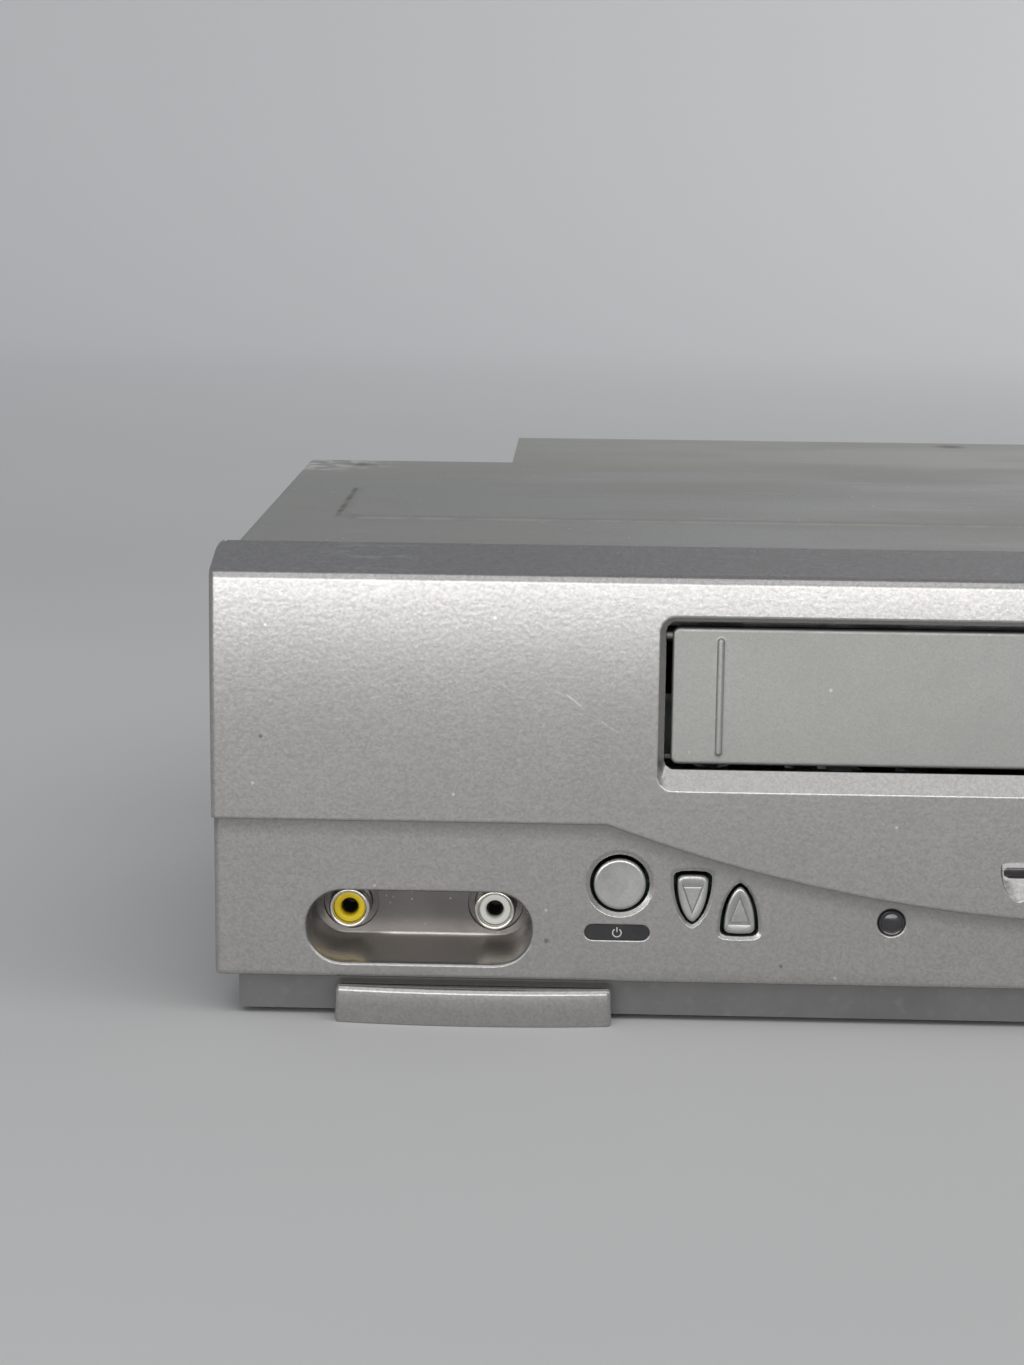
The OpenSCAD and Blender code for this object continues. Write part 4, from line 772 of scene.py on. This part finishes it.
def panel_grid():
    """Points of the outer skin: the section's rows across, bent back round both sides, with the upper
    corners drawn in along a quarter circle."""
    side, corner = 1.3, 1.4
    flat = HALF_W - side - 0.3
    across = steps_between([-flat, *PANEL_CUTS, flat], 2.6)
    turn = np.linspace(0, pi / 2, 6)
    bend_x = np.concatenate([HALF_W - side + side * np.sin(turn), [HALF_W] * 3])
    bend_y = np.concatenate([side - side * np.cos(turn), [side + 0.3, 6.5, BEVEL_D]])
    x = np.concatenate([-bend_x[::-1], across, bend_x])
    back = np.concatenate([bend_y[::-1], np.zeros(len(across)), bend_y])
    depth, base, share = panel_section().T[..., None]
    z = base + share * sweep(x)
    drawn = corner - np.sqrt(corner**2 - np.square(np.clip(z - (PANEL_TOP - corner), 0, corner)))
    x = x - np.sign(x) * drawn * np.clip((np.abs(x) - 160) / 15, 0, 1)
    return grid(x, np.minimum(depth + back, BEVEL_D), z)


def front_panel():
    """The moulded front: stepped face, swept step line, slanted top, and everything that is cut into it."""
    points = panel_grid()
    plan = points[..., [0, 2]]
    middle = plan[:, points.shape[1] // 2, 1]
    low, split = (nearest(middle[:ROWS_BELOW_SPLIT], z) for z in (PANEL_LOW + 1.1, SPLIT_Z))
    door_low, door_high = (nearest(middle, z) for z in DOOR_ROWS)
    whole = (low, split + ROWS_TO_STEP)
    line = plan[split, :, 0]
    cells = list(zip((line[BEND_COLS], *CELL_CUTS), (*CELL_CUTS, line[-1 - BEND_COLS])))

    def lower(flat, depth):
        return facing_front(flat, depth + STEP_BACK)

    def upper(flat, depth):
        return facing_front(flat, depth + crown(flat[..., 1]))

    def cut(sides, rows, rings, place=lower):
        return (nearest(line, sides[0]), nearest(line, sides[1])), rows, rings, plan, place, False

    # Socket recess: a rolled mouth that narrows to the throat at the back wall
    mouth = growing(44.6, 14.7, 7.3, RECESS_AT)
    throat = rounded(43.8, 12.9, 6.4, (RECESS_AT[0], RECESS_AT[1] + 0.7))
    recess = grown(mouth, ((0.65, 0), (0.45, 0), (0.37, 0.03), (0.08, 0.32), (0, 0.5)))
    recess += [(mouth(0) * (1 - t) + throat * t, 0.5 + 14.7 * t) for t in (0.06, 0.5, 1)]
    window = growing(12.8, 3.2, 1.6, WINDOW_AT)
    holes = [cut(cells[0], whole, recess), cut(cells[1], (low, split), countersink(window, 0.13, 0.08))]
    for key, (cell, shape) in sorted(KEYS.items(), key=lambda item: item[1][0]):
        rows = (split, whole[1]) if key == "power_button" else whole
        slant = (0.9, 0.42) if key in BIG_KEYS else (0.66, 0.33)
        holes.append(cut(cells[cell], rows, countersink(lambda g: shape(CAP_GAP + g), *slant)))
    holes.append(cut(cells[4], whole, countersink(lambda g: disc(2.62 + g, EYE_AT), 0.3, 0.25)))

    # Lamp scoops: the floor leans back as it rises, and the slot sits near its top
    def scooped(flat, share):
        lean = 2.3 * np.clip((flat[..., 1] - 27.6) / 8, 0, 1)
        return upper(flat, np.minimum(share, 1) * lean + 3 * np.maximum(share - 1, 0))

    for x in LAMP_X:
        scoop = lambda g: arch(7.6 + 2 * g, 8 + 2 * g, (x, LAMP_Z - 1.5), -1)
        slot = growing(6.1, 1.9, 0.9, (x, LAMP_Z))
        rings = grown(scoop, ((0.3, 0), (0.06, 0), (-0.05, 0.12), (-0.22, 0.85), (-0.5, 1)))
        rings += grown(lambda g: towards(slot(g), scoop(0)), ((0.35, 1), (0.05, 1), (0, 1.05), (0, 1.5)))
        holes.append(cut((x - LAMP_CELL, x + LAMP_CELL), (door_low - ROWS_TO_BAY, door_low), rings, scooped))

    # Cassette bay: a frame that slants in to the opening behind it
    face = growing(194.6, 34, 3, (FLAP_AT[0], 65.6))
    back = rounded(192, 29, 2, (FLAP_AT[0], 66.8))
    rings = grown(face, ((0.4, 0), (0.06, 0), (-0.06, 0.05)))
    rings += [(face(-0.06) * (1 - t) + back * t, 0.05 + 2.3 * t) for t in (0.5, 0.96, 1)]
    rings += [(back, 2.6), (back, 3.4)]
    holes.append(cut(DOOR_CUTS, (door_low, door_high), rings, upper))
    piece("front_panel_moulding", sheet(points, holes), "silver_paint", ["front_panel"], outward=(0, -1, 0),
          thick=PANEL_T)


def lamp_bars():
    """Three lamp bars that end just inside the slots of the scoops, with a rolled front edge."""
    bars = []
    for x in LAMP_X:
        shape = growing(6.0, 1.8, 0.9, (x, LAMP_Z))
        bars.append(stacked(grown(shape, ((0, 10.1), (0, 2.15), (-0.06, 2.04), (-0.2, 2.0)))))
    piece("lamp_bar_lenses", bars, "lamp_lens", ["indicator_lenses"])


def towards(loop, outer):
    """The places of a loop that lie in the same directions from its middle as those of an outer loop."""
    centre = (loop.max(0) + loop.min(0)) / 2
    bearing = np.arctan2(*(loop - centre).T[::-1])
    reach = np.hypot(*(loop - centre).T)
    wanted = np.arctan2(*(outer - centre).T[::-1])
    far = np.interp(wanted, bearing, reach, period=2 * pi)
    return centre + far[:, None] * unit(wanted)


def recess_back():
    """Back wall of the socket recess, a plate with a pocket round each socket."""
    cuts = [x + s for x in SOCKET_X.values() for s in (-POCKET_CELL, POCKET_CELL)]
    x = steps_between([-162, *cuts, RECESS_AT[0], -117], 1.4)
    z = np.linspace(12.9, 26.4, 11)
    plan = np.stack(np.meshgrid(x, z), -1)
    place = lambda flat, depth: facing_front(flat, depth + RECESS_BACK)
    holes = []
    for at in SOCKET_X.values():
        pocket = lambda g: disc(POCKET_R + g, (at, SOCKET_Z))
        cols = (nearest(x, at - POCKET_CELL), nearest(x, at + POCKET_CELL))
        rings = grown(pocket, ((0.25, 0), (0.05, 0), (0, 0.08), (0, 0.9), (-1.3, 0.9)))
        holes.append((cols, (0, 10), rings, plan, place, False))
    piece("recess_back_wall", sheet(place(plan, 0), holes), "silver_paint", outward=(0, -1, 0),
          thick=RECESS_T)


def top_cover():
    """Sheet steel cover: sides folded down over a small radius, a raised field on top, vents in the sides,
    and the rear left corner left out."""
    bend, field_x, field_y = 1.6, 166, 46
    vent_low, vent_high = 54.4, 79.6
    vents = 58.25 + 6 * np.arange(11)
    wall_z = steps_between([COVER_LOW, vent_low, vent_high, COVER_FLAT - bend - 0.3], 3.2)
    turn = np.linspace(0, pi / 2, 6)
    fold_x = np.concatenate([np.full(len(wall_z), COVER_X), COVER_X - bend + bend * np.cos(turn)])
    fold_z = np.concatenate([wall_z, COVER_FLAT - bend + bend * np.sin(turn)])
    flat = COVER_X - bend - 0.3
    across = steps_between([-flat, -field_x, NOTCH_X, field_x, flat], 4)
    x = np.concatenate([-fold_x, across, fold_x[::-1]])
    y = steps_between([COVER_Y0, field_y, *vents, NOTCH_Y, COVER_Y1], 3)
    z = np.concatenate([fold_z, np.full(len(across), COVER_FLAT), fold_z[::-1]])
    points = grid(x, y[:, None], z)

    def column(at):
        return len(fold_x) + nearest(across, at)

    def raised(flat, depth):
        return facing_up(flat, COVER_FLAT - depth)

    field = growing(319, 54, 6, (0, 80))
    rise = ((1.6, 0), (0.8, -0.02), (0.2, -0.14), (-0.4, -0.36), (-1, -0.53), (-1.6, -0.58), (-2.4, -0.58))
    cols, rows = (column(-field_x), column(field_x)), (nearest(y, field_y), nearest(y, vents[-1]))
    holes = [(cols, rows, grown(field, rise), points[..., :2], raised, True)]
    low, high = nearest(wall_z, vent_low), nearest(wall_z, vent_high)
    last = len(x) - 1
    left = points[..., [2, 1]]
    for a, b in zip(vents, vents[1:]):
        rows = (nearest(y, a), nearest(y, b))
        for s, plan, cols in ((1, left, (low, high)), (-1, left * (-1, 1), (last - high, last - low))):
            slot = lambda g: rounded(22 + 2 * g, 2.5 + 2 * g, 1.2, (s * 67, a + 3))
            rings = grown(slot, ((0.25, 0), (0.05, 0), (0, 0.05), (0, 0.1)))
            place = lambda f, d, s=s: grid(-s * (COVER_X - d), f[..., 1], s * f[..., 0])
            holes.append((cols, rows, rings, plan, place, False))
    gone = ((0, column(NOTCH_X)), (nearest(y, NOTCH_Y), len(y) - 1))
    piece("steel_cover", sheet(points, holes, gone), "cover_paint", ["top_cover"], outward=(0, 0, 1),
          thick=COVER_T)


def cassette_flap():
    """The flap over the cassette bay: rolled edges, a narrow raised rib near its left end, and two pins."""
    edge, rib = growing(189.4, 27, 1.5, FLAP_AT), growing(1.4, 23.2, 0.7, RIB_AT)
    rim = ((0, 6.4), (0, 4.6), (-0.06, 4.25), (-0.22, 4.08), (-0.5, 4.0), (-0.8, 4.0))
    ridge = ((0.6, 4.0), (0.1, 4.0), (0.02, 3.98), (-0.05, 3.9), (-0.15, 3.81), (-0.28, 3.73), (-0.43, 3.67),
             (-0.6, 3.65))
    plate = stacked(grown(edge, rim) + grown(rib, ridge))
    pins = []
    for x0, x1 in ((-94.9, -86), (94, 105.9)):
        pin = [(disc(r, (6.6, 78.2)), x) for r, x in ((1.3, x0), (1.5, x0 + 0.2), (1.5, x1))]
        pins.append(stacked(pin, lambda flat, x: grid(x, flat[..., 0], flat[..., 1])))
    piece("flap_moulding", [plate, *pins], "door_paint", ["cassette_door"], "cassette_door")


def arrow(cap, way, r):
    """Triangle r times full size in the middle of an arched cap, its places in line with the cap's own."""
    x, z = (cap.max(0) + cap.min(0)) / 2 + (0, -0.25 * way)
    corners = [(x, z + way * 3.2 * r), (x - 2.1 * r, z - way * 2.5 * r), (x + 2.1 * r, z - way * 2.5 * r)]
    return towards(polygon(corners[::way]), cap)


def key_caps():
    """Nine caps with rolled rims: a dished middle on the two big round ones, a moulded triangle on the two
    channel ones, a shallow field on the others."""
    triangle = ((1.06, 3.4), (1.03, 3.42), (0.97, 3.62), (0.91, 3.62), (0.85, 3.42), (0.82, 3.4), (0.7, 3.4))
    for name, (_, shape) in KEYS.items():
        rings = grown(shape, ((0, 8.4), (0, 3.95), (-0.05, 3.68), (-0.2, 3.48), (-0.45, 3.4)))
        if name in BIG_KEYS:
            rings += grown(shape, ((-0.6, 3.4), (-0.9, 3.41), (-2.6, 3.43), (-4.2, 3.44)))
        elif name.startswith("channel"):
            way = -1 if "down" in name else 1
            rings += [(shape(-0.75), 3.4)] + grown(lambda r: arrow(shape(0), way, r), triangle)
        else:
            rings += grown(shape, ((-0.8, 3.38), (-1.6, 3.36)))
        piece(name.replace("_button", "_cap"), [stacked(rings)], "cap_paint", [name], name)


def printed_marks():
    """Plain signs, a thin film of ink each: a pale one for standby, dark ones on the keys of the deck."""
    dark = moulded("dark sign ink", (0.02, 0.02, 0.022), 0.5, 0.6, 0.1)
    pale = moulded("pale sign ink", (0.55, 0.56, 0.54), 0.5, 0.6, 0.1)

    def open_ring(r, w, start, end, at):
        """Flat part of a ring, as one loop out along its rim and back along its bore."""
        rim = unit(np.radians(np.linspace(start, end, 41)))
        return np.concatenate([rim * r, rim[::-1] * (r - w)]) + at

    def bar(w, h, at, r=0.08):
        return rounded(w, h, r, at, 3)

    def wedge(r, at, way):
        return polygon(r * unit(np.radians([0, 120, 240])) * (way, 1) + at, 2)

    marks = {
        "play": [wedge(2.0, (100, 28.7), 1)],
        "rewind": [wedge(1.1, (x, 26.6), -1) for x in (117.9, 119.7)],
        "fast_forward": [wedge(1.1, (x, 25.4), 1) for x in (130.3, 132.1)],
        "pause": [bar(0.6, 2.4, (x, 22)) for x in (75.4, 76.6)],
        "record": [disc(1.2, (60, 19.6))],
        "stop_eject": [bar(2.6, 2.6, (147.4, 26), 0.1), bar(3.2, 0.6, (152.4, 24.8)),
                       polygon([(150.8, 25.6), (154, 25.6), (152.4, 27.6)], 2)],
    }
    standby = [open_ring(0.95, 0.22, 125, 415, (-100.4, 18.7)), bar(0.22, 1.0, (-100.4, 19.35))]
    signs = [("standby", "main_frame", 4.1, pale, standby)]
    for key, loops in marks.items():
        signs.append((key, key + "_button", 3.57 if key == "play" else 3.37, dark, loops))
    for name, body, depth, ink, loops in signs:
        patches = [stacked([(loop, depth + 0.05), (loop, depth - 0.03)]) for loop in loops]
        piece(name + "_sign", patches, "black_plastic", body=body, finish=ink)


def front_sockets():
    """Two phono sockets: a plated shell with a rolled mouth round a coloured insert with a blind hole."""
    shell = [(3.22, 24.3), (3.22, 14.45), (3.3, 14.18), (3.5, 14.03), (3.7, 14.0), (3.92, 14.04), (4.1, 14.2),
             (4.15, 14.45), (4.15, 19), (3.95, 19.02), (3.95, 24.3), (3.22, 24.3)]
    insert = [(0, 23), (1.75, 22.98), (1.75, 15.6), (1.85, 15.3), (2.05, 15.08), (2.3, 15.0), (2.9, 15.0),
              (3.1, 15.08), (3.18, 15.3), (3.18, 24.3), (0, 24.3)]
    sleeve = [(0, 22.9), (1.3, 22.9), (1.36, 16.4), (1.5, 16.25), (1.66, 16.4), (1.68, 22.94), (0, 22.94)]
    contact = moulded("tarnished contact", (0.012, 0.009, 0.007), 0.45, 0.5, 0.05)
    for side, slot in (("video", "yellow_plastic"), ("audio", "white_plastic")):
        at = (SOCKET_X[side], SOCKET_Z)
        piece(f"{side}_socket_shell", [turned(shell, at)], "nickel", [f"{side}_jack_shell"])
        piece(f"{side}_socket_insert", [turned(insert, at)], slot, [f"{side}_jack_insert"])
        piece(f"{side}_socket_contact", [turned(sleeve, at)], "black_plastic", finish=contact)


def remote_eye():
    """Smoked lens: a shallow dome, setback growing with the square of the radius, inside a raised rim."""
    r = np.linspace(0, 1.9, 9)
    dome = list(zip(r, 3.72 + 0.25 * np.square(r / 1.9)))
    rim = [(1.98, 3.95), (2.1, 3.72), (2.3, 3.68), (2.44, 3.76), (2.5, 3.95), (2.5, 8.2), (0, 8.2)]
    piece("remote_eye_lens", [turned(dome + rim, EYE_AT)], "smoke_lens", ["remote_lens"])


def front_feet():
    """Two foot bars with bowed fronts and rolled top edges, each with a thin pad that runs back below."""
    half, bulge, corner = 27.35, 1.6, 1.1
    r = (half**2 + bulge**2) / (2 * bulge)
    heights = [(-0.5, 0), (-0.15, 0.12), (0, 0.5), (0, 6.5), (-0.07, 6.95), (-0.3, 7.32), (-0.65, 7.54),
               (-1.05, 7.6), (-1.5, 7.6)]

    def bow(g, x_mid):
        """Bar seen from above: an arc in front, small corner arcs, straight ends and back."""
        x = np.linspace(corner - half, half - corner, 25)
        front = np.stack([x, r - np.sqrt(r**2 - x**2) - g], -1)
        turn = np.linspace(0, pi / 2, 7)[1:]
        ends = front[-1] + (corner + g) * np.stack([np.sin(turn), 1 - np.cos(turn)], -1)
        right = np.concatenate([ends, [[half + g, 6.4]]])
        return np.concatenate([right[::-1] * (-1, 1), front, right]) + (x_mid, 0)

    for name, x in (("front_foot_left", -FOOT_X), ("front_foot_right", FOOT_X)):
        bar = stacked([(bow(g, x), z) for g, z in heights], facing_up)
        pad = stacked([(rounded(54, 27, 1.5, (x, 20.4)), z) for z in (0, 1.15)], facing_up)
        piece(name + "_bar", [bar, pad], "silver_paint", [name])


def studio():
    """Pale floor that curves up into a backdrop, five soft lamps and even surroundings."""
    f = Finish("pale studio floor", rough=0.9)
    f.colour = f.blend(f.between(f.noise(300, 3), 0.3, 0.7), (0.62, 0.617, 0.607), (0.65, 0.647, 0.637))
    f.lay(f.between(f.axis("Y"), 0.5, 1.6), (0.84, 0.84, 0.835))
    half, bend_from, bend, top = 6000.0, 1500, 700, 900
    turn = np.linspace(0, pi / 2, 17)
    depth = np.concatenate([[-half, bend_from], bend_from + bend * np.sin(turn), [bend_from + bend]])
    height = np.concatenate([[0, 0], bend - bend * np.cos(turn), [top]])
    points, faces = quads(grid(np.array([-half, half]), depth[:, None], height[:, None]))
    mesh = mesh_of("floor", points, faces, f.done())
    mesh.shade_smooth()
    placed("floor", mesh)
    for name, (at, size, power) in LAMPS.items():
        lamp = bpy.data.lights.new(name, "AREA")
        lamp.shape = "RECTANGLE"
        lamp.size, lamp.size_y = size
        lamp.energy = power
        obj = placed(name, lamp)
        obj.location = at
        obj.rotation_euler = (Vector(LAMPS_AIM) - Vector(at)).to_track_quat("-Z", "Y").to_euler()
    world = bpy.data.worlds.new("studio air")
    world.use_nodes = True
    air = world.node_tree.nodes["Background"]
    air.inputs["Color"].default_value = AIR_COLOUR
    air.inputs["Strength"].default_value = AIR_LIGHT
    bpy.context.scene.world = world
    bpy.context.scene.view_settings.view_transform = "Standard"


add_camera()
finish_nodes()
front_panel()
lamp_bars()
recess_back()
top_cover()
cassette_flap()
key_caps()
printed_marks()
front_sockets()
remote_eye()
front_feet()
studio()
